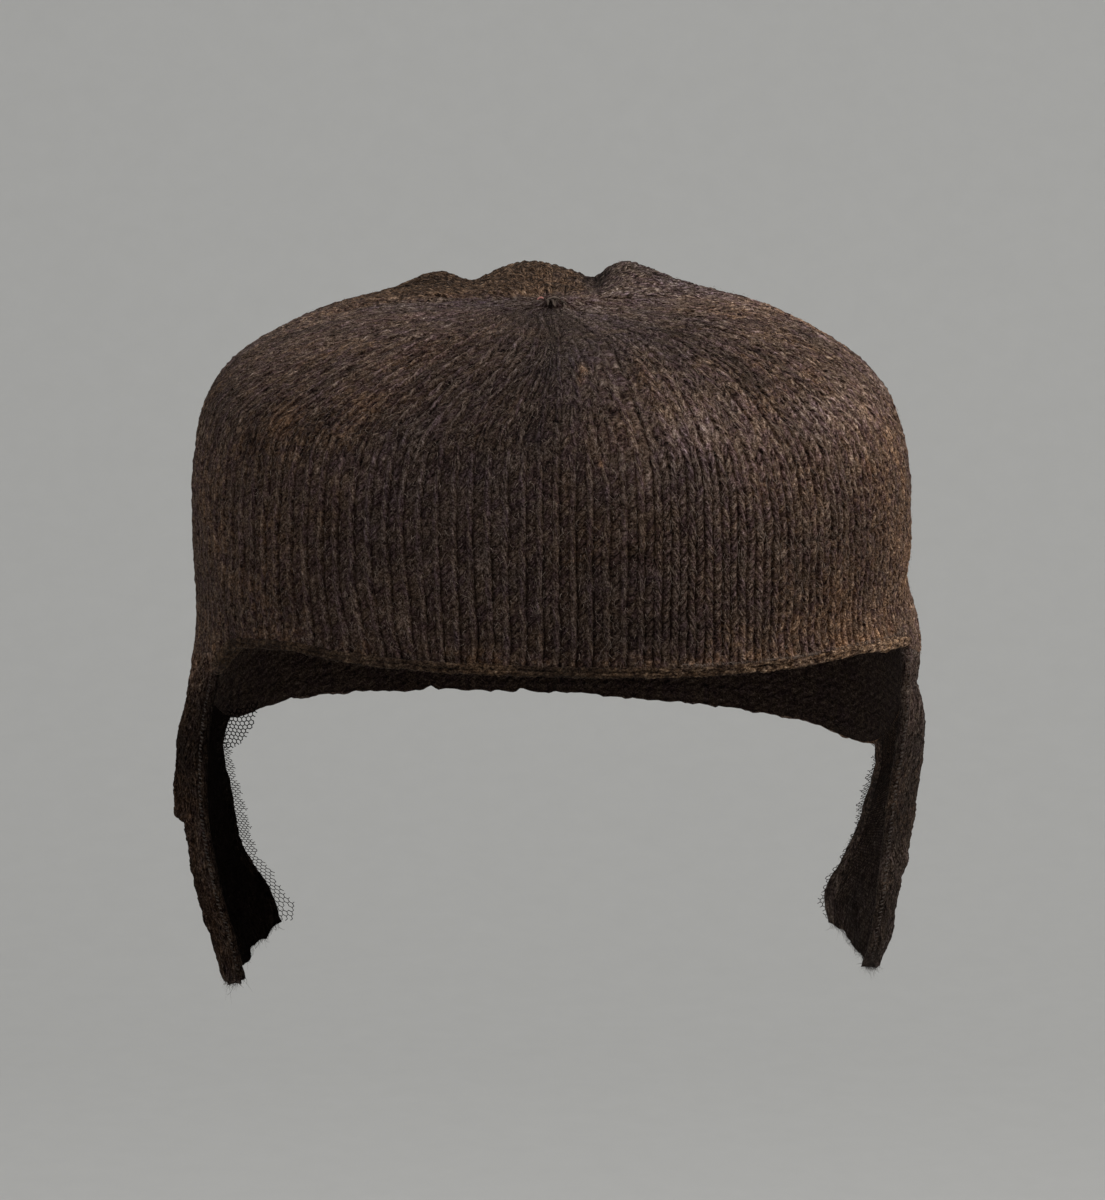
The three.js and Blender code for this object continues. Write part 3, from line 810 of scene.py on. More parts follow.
def point_piece(material):
    """The gathered point: ribs that run together, and the slit where the last loops were drawn up."""
    columns = 520
    rows = POINT_COURSES * 4 + 1
    first = 0.12
    turn = np.arange(columns) / columns
    course = first + (POINT_COURSES - first) * np.linspace(0, 1, rows) ** 1.15
    turn, course = np.meshgrid(turn, course, indexing="ij")
    degrees = -180 + turn * 360
    plain = crown.point(degrees, course)
    moved = degrees + wander(plain, np.hypot(plain[..., 0], plain[..., 1])) + lean(degrees, course)
    base = crown.point(moved, course)
    normal = crown.normal(moved, course)
    height, count = knitting(turn, course, plain)
    reach = np.hypot(base[..., 0], base[..., 1])
    felt = felting(plain, degrees, course)
    crisp = (1 - 0.75 * felt) * (1 + 0.3 * fall(degrees, -8, 12) * smoothstep(degrees, -75, -50))
    crisp = crisp * (1 - 0.35 * smoothstep(degrees, -15, 15))
    depth = GROOVE_DEPTH * crisp * (0.35 + 0.65 * smoothstep(reach, 2, 12))
    gathers = 0.55 * soft_noise(plain / np.maximum(reach, 2.5)[..., None] * 9, 2.6, 20)
    gathers = gathers * hill(reach, 0, 11)
    x, y = plain[..., 0], plain[..., 1]
    slit = hill(y + 0.4 * np.sin(x * 0.5), -3.2, 0.9) * np.exp(-(((x - 1.8) / 4.6) ** 4))
    lips = hill(y, -0.4, 1.4) * hill(x, 6, 11)
    # A groove runs on from the slit, out to the front and the right
    outward = (x - y) * 0.707
    aside = (x + y + 0.5) * 0.707 + 0.5 * np.sin(outward * 0.6)
    groove = hill(aside, 0, 0.9) * smoothstep(outward, 0.5, 3) * fall(outward, 9, 17)
    lumps, fuzz = crown_relief(base)
    streak = streaks(turn, course)
    rise = lumps - depth * (1 - height) + fuzz + STREAK_RELIEF * streak + 0.1
    rise = rise + gathers - 2.1 * slit + 1.3 * lips - 1.1 * groove
    shown = base + normal * rise[..., None]
    # Painted shade in the grooves, in the slit and in the groove that runs on from it
    cavity = np.clip(1 - GROOVE_DARKNESS * crisp * (1 - height) - 0.75 * slit - 0.6 * groove, 0, 1)
    tone, warm = tone_shade_and_warmth(base, degrees)
    tone = tone * (1 + STREAK_LIGHT * streak)
    # The hub is one point more, in the middle of the innermost ring
    points = np.concatenate([shown.reshape(-1, 3), shown[:, 0].mean(axis=0)[None]])
    ring = np.arange(columns) * rows
    fan = np.stack([np.full(columns, len(points) - 1), ring, np.roll(ring, -1)], axis=-1)
    faces = np.concatenate([to_triangles(grid_faces(columns, rows, closed=True)), fan])
    # The hub gets deep painted shade
    data = {
        "open": (cavity, 0.2),
        "tone": (tone, 1),
        "warm": (warm, 0.4),
        "felt": (felt, 0.6),
        "vivid": (vividness(base, degrees), 1),
    }
    data = {key: np.append(values, hub) for key, (values, hub) in data.items()}
    turn, count, course = [np.append(values, values[0, 0]) for values in (turn, count, course)]
    uv, tint = strand_layout(turn, count, course, faces)
    piece = mesh_object("knit_point", points, faces, material, data, {"tint": tint}, uv)
    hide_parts("crown")
    return piece


def inner_shell(material):
    """The inside of the crown, where plain knitting shows its bumps."""
    per_wale = 3
    columns = WALES * per_wale
    wale = np.arange(columns) / per_wale
    degrees = -180 + wale * 360 / WALES
    ends = course_at(crown_edge_height(degrees))
    courses = [np.arange(0.4, 47, 2.2), np.arange(DOME_COURSES, ends.max() + 0.3, 0.4)]
    wale, course = np.meshgrid(wale, np.concatenate(courses), indexing="ij")
    rows = course.shape[1]
    degrees = np.repeat(degrees[:, None], rows, axis=1)
    ends = np.repeat(ends[:, None], rows, axis=1)
    course = np.minimum(course, ends)
    first_over = np.argmax(course >= ends, axis=1)
    base = crown.point(degrees, course)
    normal = crown.normal(degrees, course)
    wave = course + 0.27 * np.cos(2 * math.pi * wale) + 0.15 * soft_noise(base, 9, 5)
    bump = 0.5 + 0.5 * np.cos(2 * math.pi * wave)
    bump = bump * smoothstep(ends - course, 0, 0.8) * smoothstep(course, 30, 47)
    lumps = 0.35 * soft_noise(base, 12, 21) + 0.12 * soft_noise(base, 2, 22)
    depth = WALL + (0.1 + 0.75 * bump + lumps * smoothstep(ends - course, 0, 2))
    shown = base - normal * depth[..., None]
    index = reached_grid(columns, rows, first_over)
    faces = index_faces(np.concatenate([index, index[:1]]), inward=True)
    # Painted shade between the bumps, and the whole inside is painted darker than the outside for the shade
    # inside the cap
    data = {
        "open": (0.35 + 0.65 * bump).ravel(),
        "tone": np.full(bump.size, 0.85),
        "warm": np.full(bump.size, 0.3),
        "felt": np.full(bump.size, 0.5),
        "vivid": np.ones(bump.size),
        "across": (wale * STITCH_WIDTH).ravel(),
        "down": (wave * COURSE).ravel(),
    }
    points, faces, data = only_used(shown.reshape(-1, 3), faces, data)
    uv = np.stack([data.pop("down")[faces], data.pop("across")[faces]], axis=-1).reshape(-1, 2)
    tint = chance(np.arange(len(faces)) // 6, 0, 5)
    piece = mesh_object("knit_inside", points, faces, material, data, {"tint": tint}, uv)
    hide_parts("crown")
    return piece


def seam_degrees(span, across):
    """Angle of a flap's seam at a share from the temple to the junction."""
    return mix(span["temple"], span["junction"], np.minimum(across, 1))


def seam_point(span, across):
    """Point of a flap's seam, just under the crown's edge."""
    degrees = seam_degrees(span, across)
    return wall_point(edge_height(degrees) - GAP, degrees)


def flap_bend(sections, across, down):
    """Point of the curve through a flap's front edge, furthest point out and rear edge."""
    rows = smooth_value(sections, down)
    front, side, rear = rows[..., 0:3], rows[..., 3:6], rows[..., 6:9]
    a = across[..., None]
    return front * (1 - a) * (1 - 2 * a) + side * 4 * a * (1 - a) + rear * a * (2 * a - 1)


def flap_point(sections, span, across, down):
    """Point of a flap's outer face: across from the front edge to the rear, down from the seam."""
    to_seam = seam_point(span, across) - flap_bend(sections, across, np.zeros_like(down))
    share = 1 - smoothstep(down, 0, 0.45)
    return flap_bend(sections, across, down) + to_seam * share[..., None]


def flap_normal(sections, span, across, down):
    """Level normal of a flap's outer face. At the seam it is the crown's own."""
    step = 0.02
    along = flap_point(sections, span, across + step, down) - flap_point(sections, span, across - step, down)
    side = np.sign(span["temple"])
    own = unit(np.stack([along[..., 1], -along[..., 0], np.zeros_like(down)], axis=-1)) * side
    degrees = seam_degrees(span, across)
    crowns = wall_normal(edge_height(degrees), degrees)
    return unit(mix(crowns, own, smoothstep(down, 0, 0.3)[..., None]))


FLAP_WALES = 18
FLAP_COURSES = 33
EDGE_THICKNESS = 2.9  # of a flap at its front edge
EDGE_BULGE = 1.2  # how far a flap's rounded front and rear edges stand out


def torn_layer(a, d):
    """The step on the left flap where the outermost layer is torn away, in millimetres inward."""
    torn = smoothstep(d, 0.548, 0.562) * (1 - 0.75 * smoothstep(d, 0.562, 0.75))
    return (1.7 * torn - 0.6 * hill(d, 0.538, 0.014)) * smoothstep(a, 0.02, 0.12)


def round_over(edge, normal, outward, turns, thick, bead, noise_size, layer):
    """Columns of points round a flap's edge, from one face to the other."""
    columns = []
    for turn in turns:
        inward = -normal * (thick / 2 * (1 - math.cos(turn)))
        columns.append((edge + inward + outward * (EDGE_BULGE * math.sin(turn) * bead)[..., None])[0])
    columns = np.stack(columns)
    return columns + 0.2 * soft_noise(columns, noise_size, layer)[..., None] * normal


def flap_piece(name, sections, span, ragged, shades, lightness, material):
    """An ear flap: stitches outside, a turned hem down the front edge, and a plain fulled inside.

    The shades are for the outside, the hem's edge and the inside. The lightness is how the first two
    of them change down the flap.
    """
    columns_per_wale = 6
    rows_per_course = 4
    on_left = span["temple"] < 0
    outside = np.linspace(1, 0, FLAP_WALES * columns_per_wale + 1)
    turns = np.radians(np.arange(20, 180, 20))
    hem = np.linspace(0.0, HEM_WIDTH_SHARE, 15)
    step = HEM_WIDTH_SHARE + np.array([0.008, 0.014, 0.02])
    inside = np.linspace(HEM_WIDTH_SHARE + 0.04, 1, 36)
    round_end = np.radians(np.arange(150, 0, -30))

    rows = FLAP_COURSES * rows_per_course + 1
    down = np.linspace(0, 1, rows)

    def place(across, depth):
        """Points at shares across and depths below the outer face, one column for each share."""
        a, d = np.meshgrid(across, down, indexing="ij")
        end = ragged(a)
        d = d * end
        normal = flap_normal(sections, span, a, d)
        point = flap_point(sections, span, a, d) - normal * np.broadcast_to(depth, a.shape)[..., None]
        return point, normal, a, d

    base, normal, a, d = place(outside, 0)
    wale = a * FLAP_WALES
    course = np.tile(np.arange(rows) / rows_per_course, (len(outside), 1))
    height = stitch(wale, course, 1.0)
    felt = np.clip(0.45 + 0.3 * soft_noise(base, 13, 31) + 0.15 * soft_noise(base, 5, 32), 0, 1)
    depth = GROOVE_DEPTH * (1 - 0.6 * felt)
    near_edge = smoothstep(d, 0, 0.03) * fall(d, 0.95, 0.985)
    sink = depth * (1 - height) * near_edge
    lumps = 0.6 * soft_noise(base, 24, 33) + 0.5 * soft_noise(base, 9, 34)
    lumps = lumps + 0.45 * soft_noise(base, 3.6, 47)
    if on_left:
        lumps = lumps - torn_layer(a, d)
    else:
        # Dents below the seam and near the front edge, with a swelling under them
        lumps = lumps - 1.4 * hill(d, 0.1, 0.06)
        lumps = lumps + fall(a, 0.1, 0.5) * (1.4 * hill(d, 0.655, 0.035) - 1.0 * hill(d, 0.4, 0.1))
    fuzz = 0.2 * soft_noise(base, 2.1, 13) + 0.25 * soft_noise(base, 1.0, 14)
    face = base + normal * (lumps * smoothstep(d, 0, 0.1) - sink + fuzz)[..., None]
    # Painted shade in the grooves of the flap's stitches
    cavity = np.clip(1 - sink / GROOVE_DEPTH * GROOVE_DARKNESS, 0, 1)

    front, front_normal = place(np.zeros(1), 0)[:2]
    forward = unit(front - place(np.array([0.02]), 0)[0])
    bead = 1 + 0.14 * soft_noise(front, 5, 35) + 0.1 * soft_noise(front, 2, 36)
    rolled = round_over(front, front_normal, forward, turns, EDGE_THICKNESS, bead, 1.2, 37)

    hem_depth = mix(EDGE_THICKNESS, WALL + HEM_EXTRA, smoothstep(hem, 0, 0.1))
    hem_points, hem_normal, hem_a, _ = place(hem, hem_depth[:, None])
    hem_lump = 0.35 * soft_noise(hem_points, 4, 38) + 0.2 * soft_noise(hem_points, 1.6, 39)
    edge_round = smoothstep(hem_a, HEM_WIDTH_SHARE - 0.03, HEM_WIDTH_SHARE)
    hem_points = hem_points - hem_normal * (hem_lump * (1 - edge_round) - 0.3 * edge_round)[..., None]
    step_points = place(step, (WALL + np.array([0.8, 0.4, 0.1]))[:, None])[0]
    in_points, in_normal = place(inside, WALL)[:2]
    in_lump = 0.5 * soft_noise(in_points, 7, 40) + 0.25 * soft_noise(in_points, 2.2, 41)
    in_points = in_points - in_normal * in_lump[..., None]

    back, back_normal = place(np.ones(1), 0)[:2]
    rearward = unit(back - place(np.array([0.98]), 0)[0])
    rag = 1 + 0.8 * soft_noise(back, 4, 42) + 0.7 * soft_noise(back, 1.5, 43)
    end_roll = round_over(back, back_normal, rearward, round_end, WALL, rag, 1.3, 44)

    ring = np.concatenate([face, rolled, hem_points, step_points, in_points, end_roll])
    columns = len(ring)
    unseen = columns - len(face)
    kinds = np.concatenate(
        [np.zeros(len(face)), np.linspace(0.25, 0.75, len(rolled)), np.linspace(0.75, 0.9, len(hem_points))]
        + [np.ones(len(step_points)), np.ones(len(in_points)), np.full(len(end_roll), 0.7)]
    )
    open_value = np.concatenate([cavity, np.full((unseen, rows), 0.8)])
    step_start = len(face) + len(rolled) + len(hem_points)
    # Painted shade in the step where the hem meets the inside
    open_value[step_start - 1 : step_start + 4] = 0.35
    tone, warm = tone_shade_and_warmth(ring, np.zeros(ring.shape[:2]))
    warm = np.clip(warm + 0.15, 0, 1)
    # The changes down the flap are the front's. Further back it is of an even, usual lightness.
    lighter = np.interp(down, *lightness)
    usual = np.interp(np.linspace(0.3, 1, 30), *lightness).mean()
    further_back = np.interp(down, [0, 0.3, 1], [lightness[1][0], usual, usual])
    across = np.zeros(len(kinds))
    across[: len(outside)] = outside
    across[-len(end_roll) :] = 1
    lighter = mix(further_back, lighter, fall(across, 0.12, 0.45)[:, None])
    lighter = mix(lighter, 1, np.interp(kinds, [0, 0.25, 0.75, 1], [0, 0, 0.6, 1])[:, None])
    # Painted shade: the shades darken the outside, the hem's edge and the inside, the left flap's most
    tone = tone * np.interp(kinds, [0, 0.5, 1], shades)[:, None] * lighter
    tone = tone * (1 + 0.3 * soft_noise(ring, 11, 45) + 0.25 * soft_noise(ring, 4, 46))
    felt = np.concatenate([felt, np.full((unseen, rows), 0.8)])
    wale = np.concatenate([wale, np.tile((FLAP_WALES + np.arange(unseen) * 0.3)[:, None], (1, rows))])
    course = np.tile(np.arange(rows) / rows_per_course, (columns, 1))

    # The lower end and the seam are closed with strips between the outer and the inner face
    last = np.arange(columns) * rows + rows - 1
    outer_end = last[: len(face)]
    inner_end = last[len(face) :][::-1]
    matched = inner_end[np.round(np.linspace(0, len(inner_end) - 1, len(outer_end))).astype(int)]
    strip = np.stack([outer_end[:-1], matched[:-1], matched[1:], outer_end[1:]], axis=-1)
    if on_left:
        strip = strip[:, ::-1]
    seam_strip = (strip - (rows - 1))[:, ::-1]
    quads = grid_faces(columns, rows, closed=True, flip=not on_left)
    faces = np.concatenate([to_triangles(part) for part in (quads, strip, seam_strip)])
    data = {"open": open_value, "tone": tone, "warm": warm, "felt": felt, "vivid": np.full(tone.size, 1.7)}
    uv, tint = strand_layout(wale.ravel(), np.ones(wale.size), course.ravel(), faces)
    piece = mesh_object(name, ring.reshape(-1, 3), faces, material, data, {"tint": tint}, uv)
    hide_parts(name.replace("_knit", ""))
    return piece


def tube(path, radius, sides, twist=0.0, relief=0.0):
    """Points and faces of a yarn along a path, with the grooves of its plies where twist is set."""
    tangent = unit(np.gradient(path, axis=0))
    upright = np.tile(np.array([0.0, 0.0, 1.0]), (len(path), 1))
    side = unit(np.cross(tangent, upright))
    top = np.cross(side, tangent)
    gone = np.concatenate([[0], np.cumsum(np.linalg.norm(np.diff(path, axis=0), axis=1))])
    turn = np.linspace(0, 2 * math.pi, sides, endpoint=False)
    ply = 1 + relief * np.cos(2 * (turn[None, :] - gone[:, None] * twist))
    reach = np.broadcast_to(radius, len(path))[:, None] * ply
    points = path[:, None] + side[:, None] * (reach * np.cos(turn))[..., None]
    points = points + top[:, None] * (reach * np.sin(turn))[..., None]
    wrap = np.arange(len(path) - 1) * sides
    closing = np.stack([wrap + sides - 1, wrap, wrap + sides, wrap + 2 * sides - 1], axis=-1)
    return points.reshape(-1, 3), np.concatenate([grid_faces(len(path), sides), closing])


def join(parts):
    """One list of points and one of faces from several of each."""
    points, faces, start = [], [], 0
    for p, f in parts:
        points.append(p)
        faces.append(f + start)
        start += len(p)
    return np.concatenate(points), np.concatenate(faces)


def brow_edging(material):
    """Worn strands laid along the brow edge over a flat core."""
    degrees = np.linspace(LEFT["temple"] - 0.3, RIGHT["temple"] - 1.0, 560)
    base = wall_point(edge_height(degrees), degrees)
    base[:, 2] -= temple_drop(degrees)
    normal = wall_normal(base[:, 2], degrees)
    ends = smoothstep(degrees, LEFT["temple"] - 0.5, LEFT["temple"] + 4)
    ends = 0.45 + 0.55 * ends * fall(degrees, RIGHT["temple"] - 4, RIGHT["temple"] - 0.8)
    parts = []
    # How far in and up from the edge, radius, noise layer, turns of the plies
    yarns = [
        (-0.1, 1.1, 0.76, 11, 2.1),
        (-0.15, 2.25, 0.74, 12, 2.3),
        (1.6, 1.0, 0.76, 13, 2.0),
        (1.7, 2.2, 0.88, 14, 2.2),
        (3.1, 1.5, 0.95, 15, 2.2),
    ]
    for inward, up, radius, layer, twist in yarns:
        path = base - normal * inward
        path[:, 2] += up
        aside = 0.28 * soft_noise(base, 9, layer) + 0.16 * soft_noise(base, 3.5, layer)
        path = path + normal * aside[:, None]
        path[:, 2] += 0.32 * soft_noise(base, 8, layer + 3) + 0.16 * soft_noise(base, 3, layer + 3)
        thick = radius * (1 + 0.2 * soft_noise(base, 6, layer + 6) + 0.2 * soft_noise(base, 2, layer + 6))
        parts.append(tube(path, thick * ends, 10, twist, 0.16))
    points, faces = join(parts)
    out = unit(points * np.array([1, 1, 0]))
    fuzz = 0.22 * soft_noise(points, 1.3, 50) + 0.16 * soft_noise(points, 0.7, 51)
    points = points + fuzz[:, None] * out
    points[:, 2] += 0.2 * soft_noise(points, 1.2, 52)
    around = np.degrees(np.arctan2(points[:, 0], -points[:, 1]))
    tone, warm = tone_shade_and_warmth(points, around)
    rough = mix(0.45, 1.0, smoothstep(around, 0, 40))
    # Painted shade in the gaps between the strands
    gaps = 0.45 * soft_noise(points, 1.4, 53) + 0.4 * soft_noise(points, 0.8, 54)
    data = {
        "open": np.clip(0.78 + rough * gaps, 0.05, 1),
        "tone": tone * (0.38 + 0.46 * smoothstep(around, 25, 58) + 0.2 * hill(around, -24, 12)),
        "warm": np.clip(warm + 0.35, 0, 1),
        "felt": np.full(len(points), 0.5),
        "vivid": 0.9 + 0.7 * smoothstep(around, 0, 40),
    }
    uv = np.stack([points[faces][..., 2], 1.5 * around[faces]], axis=-1).reshape(-1, 2)
    tint = chance(np.arange(len(faces)) // 24, 1, 6)
    piece = mesh_object("brow_strands", points, faces, material, data, {"tint": tint}, uv)
    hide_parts("brow_edging")
    return piece


def inside_outline(x, z, outline):
    """Whether points lie inside a closed outline."""
    inside = np.zeros(len(x), bool)
    for (ax, az), (bx, bz) in zip(outline, outline[1:] + outline[:1]):
        crosses = (az > z) != (bz > z)
        inside ^= crosses & (x < ax + (z - az) / (bz - az + 1e-9) * (bx - ax))
    return inside


def net_scrap(starts, ends):
    """The loose corner of net that hangs between the left flap and the nape."""
    left = min(x for x, _ in SCRAP_OUTLINE) - 1
    top = max(z for _, z in SCRAP_OUTLINE) + 1

    def hang(flat):
        """Lets the flat net hang in loose waves."""
        x = left + flat[:, 0] * 0.95 + 0.12 * flat[:, 1]
        z = top - flat[:, 1]
        y = SCRAP_DEPTH + 0.9 * np.sin(flat[:, 0] * 0.8) + 0.5 * np.sin(flat[:, 1] * 0.7)
        return np.stack([x, y, z], axis=-1)

    a, b = hang(starts), hang(ends)
    middle = (a + b) / 2
    keep = inside_outline(middle[:, 0], middle[:, 2], SCRAP_OUTLINE)
    return a[keep], b[keep]


def net_piece(name, sections, span, overhang, scrap, material, ragged):
    """Fine six-sided net on a flap's inner face, which stands out past the rear edge."""
    cell = 1.25
    row_height = 0.866
    spare_columns = 14
    width = 84.0
    length = 92.0
    columns = int(width / cell) + spare_columns
    rows = int(length / (cell * row_height))
    i, j = np.meshgrid(np.arange(columns), np.arange(rows), indexing="ij")
    x = (i + 0.5 * (j % 2)) * cell
    y = j * cell * row_height
    # Each cell has three of its six threads, and its neighbours have the others
    centres = np.stack([x.ravel(), y.ravel()], axis=-1)
    turns = np.radians([0, 60, 120, 180])
    corner = np.stack([np.sin(turns), np.cos(turns)], axis=-1) * cell / math.sqrt(3)
    starts = np.concatenate([centres + place for place in corner[:-1]])
    ends = np.concatenate([centres + place for place in corner[1:]])

    def to_flap(flat):
        """Lays the flat net on the flap's inner face."""
        down = np.clip(flat[:, 1] / length, 0, 1)
        across = NET_FRONT_SHARE + flat[:, 0] / width * (1 - NET_FRONT_SHARE)
        warp = 0.006 * np.sin(flat[:, 1] * 0.21 + 1) + 0.004 * np.sin(flat[:, 0] * 0.33 + flat[:, 1] * 0.1)
        across = across + warp
        held = np.minimum(across, 1)
        point = flap_point(sections, span, held, down)
        normal = flap_normal(sections, span, held, down)
        rearward = unit(point - flap_point(sections, span, held - 0.02, down))
        puff = 0.9 + 0.5 * np.sin(flat[:, 0] * 0.19 + 0.7) * np.sin(flat[:, 1] * 0.13)
        depth = WALL + GAP + 0.15 + puff * 0.5 * (1 - smoothstep(across, 0.85, 1))
        depth = depth - 1.6 * smoothstep(across, 0.9, 1)
        # Past the rear edge the net turns inward, toward the neck
        beyond = (across - held) * width / (1 - NET_FRONT_SHARE)
        turn = 1.15 + 0.25 * np.sin(flat[:, 1] * 0.24)
        sideways = beyond * np.sin(turn)
        backward = beyond * np.cos(turn) + 0.6 * (beyond > 0)
        return point - normal * (depth + sideways)[:, None] + rearward * backward[:, None], across, down

    a, across_a, down_a = to_flap(starts)
    b, across_b, down_b = to_flap(ends)
    middle = (across_a + across_b) / 2
    low = (down_a + down_b) / 2
    across_mm = width / (1 - NET_FRONT_SHARE)
    reach = 1 + (0.9 + smooth_value(overhang, low)[..., 0]) / across_mm
    frayed = (0.35 * np.sin(low * 61 + 1) + 0.3 * np.sin(low * 143)) / across_mm
    gap_noise = soft_noise(np.stack([starts[:, 0], starts[:, 1], starts[:, 0] * 0], -1), 3, 60)
    keep = (middle < reach + frayed) & (middle > NET_FRONT_SHARE) & (low > 0.012)
    keep &= low < ragged(np.clip(middle, 0, 1)) + 0.012 * (middle > 0.93)
    keep &= ~((gap_noise > 0.72) & (middle > 0.9))
    normal = flap_normal(sections, span, np.minimum(middle, 1), low)
    # Past the rear edge the net faces the brow
    facing = np.where((middle > 1)[:, None], np.array([[0.0, 1.0, 0.0]]), normal)
    parts = [strands(a[keep], b[keep], facing[keep], 0.18)]
    if scrap:
        a, b = net_scrap(starts, ends)
        parts.append(strands(a, b, np.array([[0.0, 1.0, 0.0]]), 0.27))
    points, faces = join(parts)
    data = {"open": np.full(len(points), 1.0)}
    piece = mesh_object(name, points, faces, material, data)
    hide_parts(name.replace("_threads", ""))
    return piece


def strands(a, b, facing, width):
    """Flat threads between pairs of points, with their flat side to a direction."""
    along = unit(b - a)
    side = unit(np.cross(along, facing)) * width / 2
    stretch = along * width * 0.3
    points = np.concatenate([a - stretch - side, a - stretch + side, b + stretch + side, b + stretch - side])
    faces = np.arange(len(points)).reshape(4, -1).T
    return points, faces


RIBBON_STEPS = 3  # faces along a loose fibre


def hair_ribbons(start, direction, normal, length, lift, curl, width):
    """Fine fibres as narrow curved ribbons that lie along a surface and stand a little off it."""
    steps = RIBBON_STEPS
    t = np.linspace(0, 1, steps + 1)[None, :, None]
    side = unit(np.cross(normal, direction))
    start = start[:, None]
    path = start + direction[:, None] * (t * length[:, None, None])
    path = path + side[:, None] * (curl[:, None, None] * length[:, None, None] * (t - t * t) * 2)
    path = path + normal[:, None] * (lift[:, None, None] * (0.15 + np.sin(math.pi * t * 0.9)))
    across = side[:, None] * (width[:, None, None] * (0.5 - 0.35 * t))
    points = np.stack([path - across, path + across], axis=2)
    count = len(points)
    index = np.arange(count * (steps + 1) * 2).reshape(count, steps + 1, 2)
    faces = np.stack([index[:, :-1, 0], index[:, 1:, 0], index[:, 1:, 1], index[:, :-1, 1]], -1)
    return points.reshape(-1, 3), faces.reshape(-1, 4)


class Shader:
    """A node material under construction."""

    def __init__(self, name):
        self.material = bpy.data.materials.new(name)
        self.material.use_nodes = True
        self.tree = self.material.node_tree
        self.tree.nodes.clear()
        self.output = self.tree.nodes.new("ShaderNodeOutputMaterial")

    def node(self, kind, settings=None, **inputs):
        made = self.tree.nodes.new(kind)
        for key, value in (settings or {}).items():
            setattr(made, key, value)
        for key, value in inputs.items():
            self.put(made.inputs[key.replace("_", " ")], value)
        return made

    def put(self, socket, value):
        if isinstance(value, bpy.types.NodeSocket):
            self.tree.links.new(value, socket)
        else:
            socket.default_value = value

    def attribute(self, name):
        return self.node("ShaderNodeAttribute", {"attribute_name": name}).outputs["Fac"]

    def math(self, operation, a, b=0.0, clamp=False):
        made = self.node("ShaderNodeMath", {"operation": operation, "use_clamp": clamp})
        self.put(made.inputs[0], a)
        self.put(made.inputs[1], b)
        return made.outputs[0]

    def noise(self, vector, scale, detail=2.0, roughness=0.5):
        made = self.node(
            "ShaderNodeTexNoise", {}, Vector=vector, Scale=scale, Detail=detail, Roughness=roughness
        )
        return made.outputs["Fac"]

    def stretched(self, vector, scale, turn=0.0):
        """A vector turned about Z and then scaled."""
        if turn:
            vector = self.node("ShaderNodeMapping", Vector=vector, Rotation=(0, 0, turn)).outputs["Vector"]
        return self.node("ShaderNodeMapping", Vector=vector, Scale=scale).outputs["Vector"]

    def total(self, parts, start=0.0):
        """Weighted sum of several values."""
        value = start
        for part, weight in parts:
            value = self.math("ADD", value, self.math("MULTIPLY", part, weight))
        return value

    def ramp(self, value, stops, interpolation="LINEAR"):
        made = self.node("ShaderNodeValToRGB")
        self.put(made.inputs["Fac"], value)
        made.color_ramp.interpolation = interpolation
        elements = made.color_ramp.elements
        while len(elements) < len(stops):
            elements.new(0.5)
        for element, (place, color) in zip(elements, stops):
            element.position = place
            element.color = (*color, 1) if hasattr(color, "__len__") else (color, color, color, 1)
        return made.outputs["Color"]

    def blend(self, a, b, share, mode="MIX"):
        made = self.node("ShaderNodeMix", {"data_type": "RGBA", "blend_type": mode})
        self.put(made.inputs[0], share)
        self.put(made.inputs[6], a)
        self.put(made.inputs[7], b)
        return made.outputs[2]

    def surface(self, color, relief=None, **look):
        """Makes the material a surface of that colour. The relief is height, strength and distance."""
        if relief:
            height, strength, distance = relief
            bump = self.node("ShaderNodeBump", Height=height, Strength=strength, Distance=distance)
            look["Normal"] = bump.outputs["Normal"]
        shader = self.node("ShaderNodeBsdfPrincipled", Base_Color=color, **look)
        self.put(self.output.inputs["Surface"], shader.outputs["BSDF"])
        return self.material


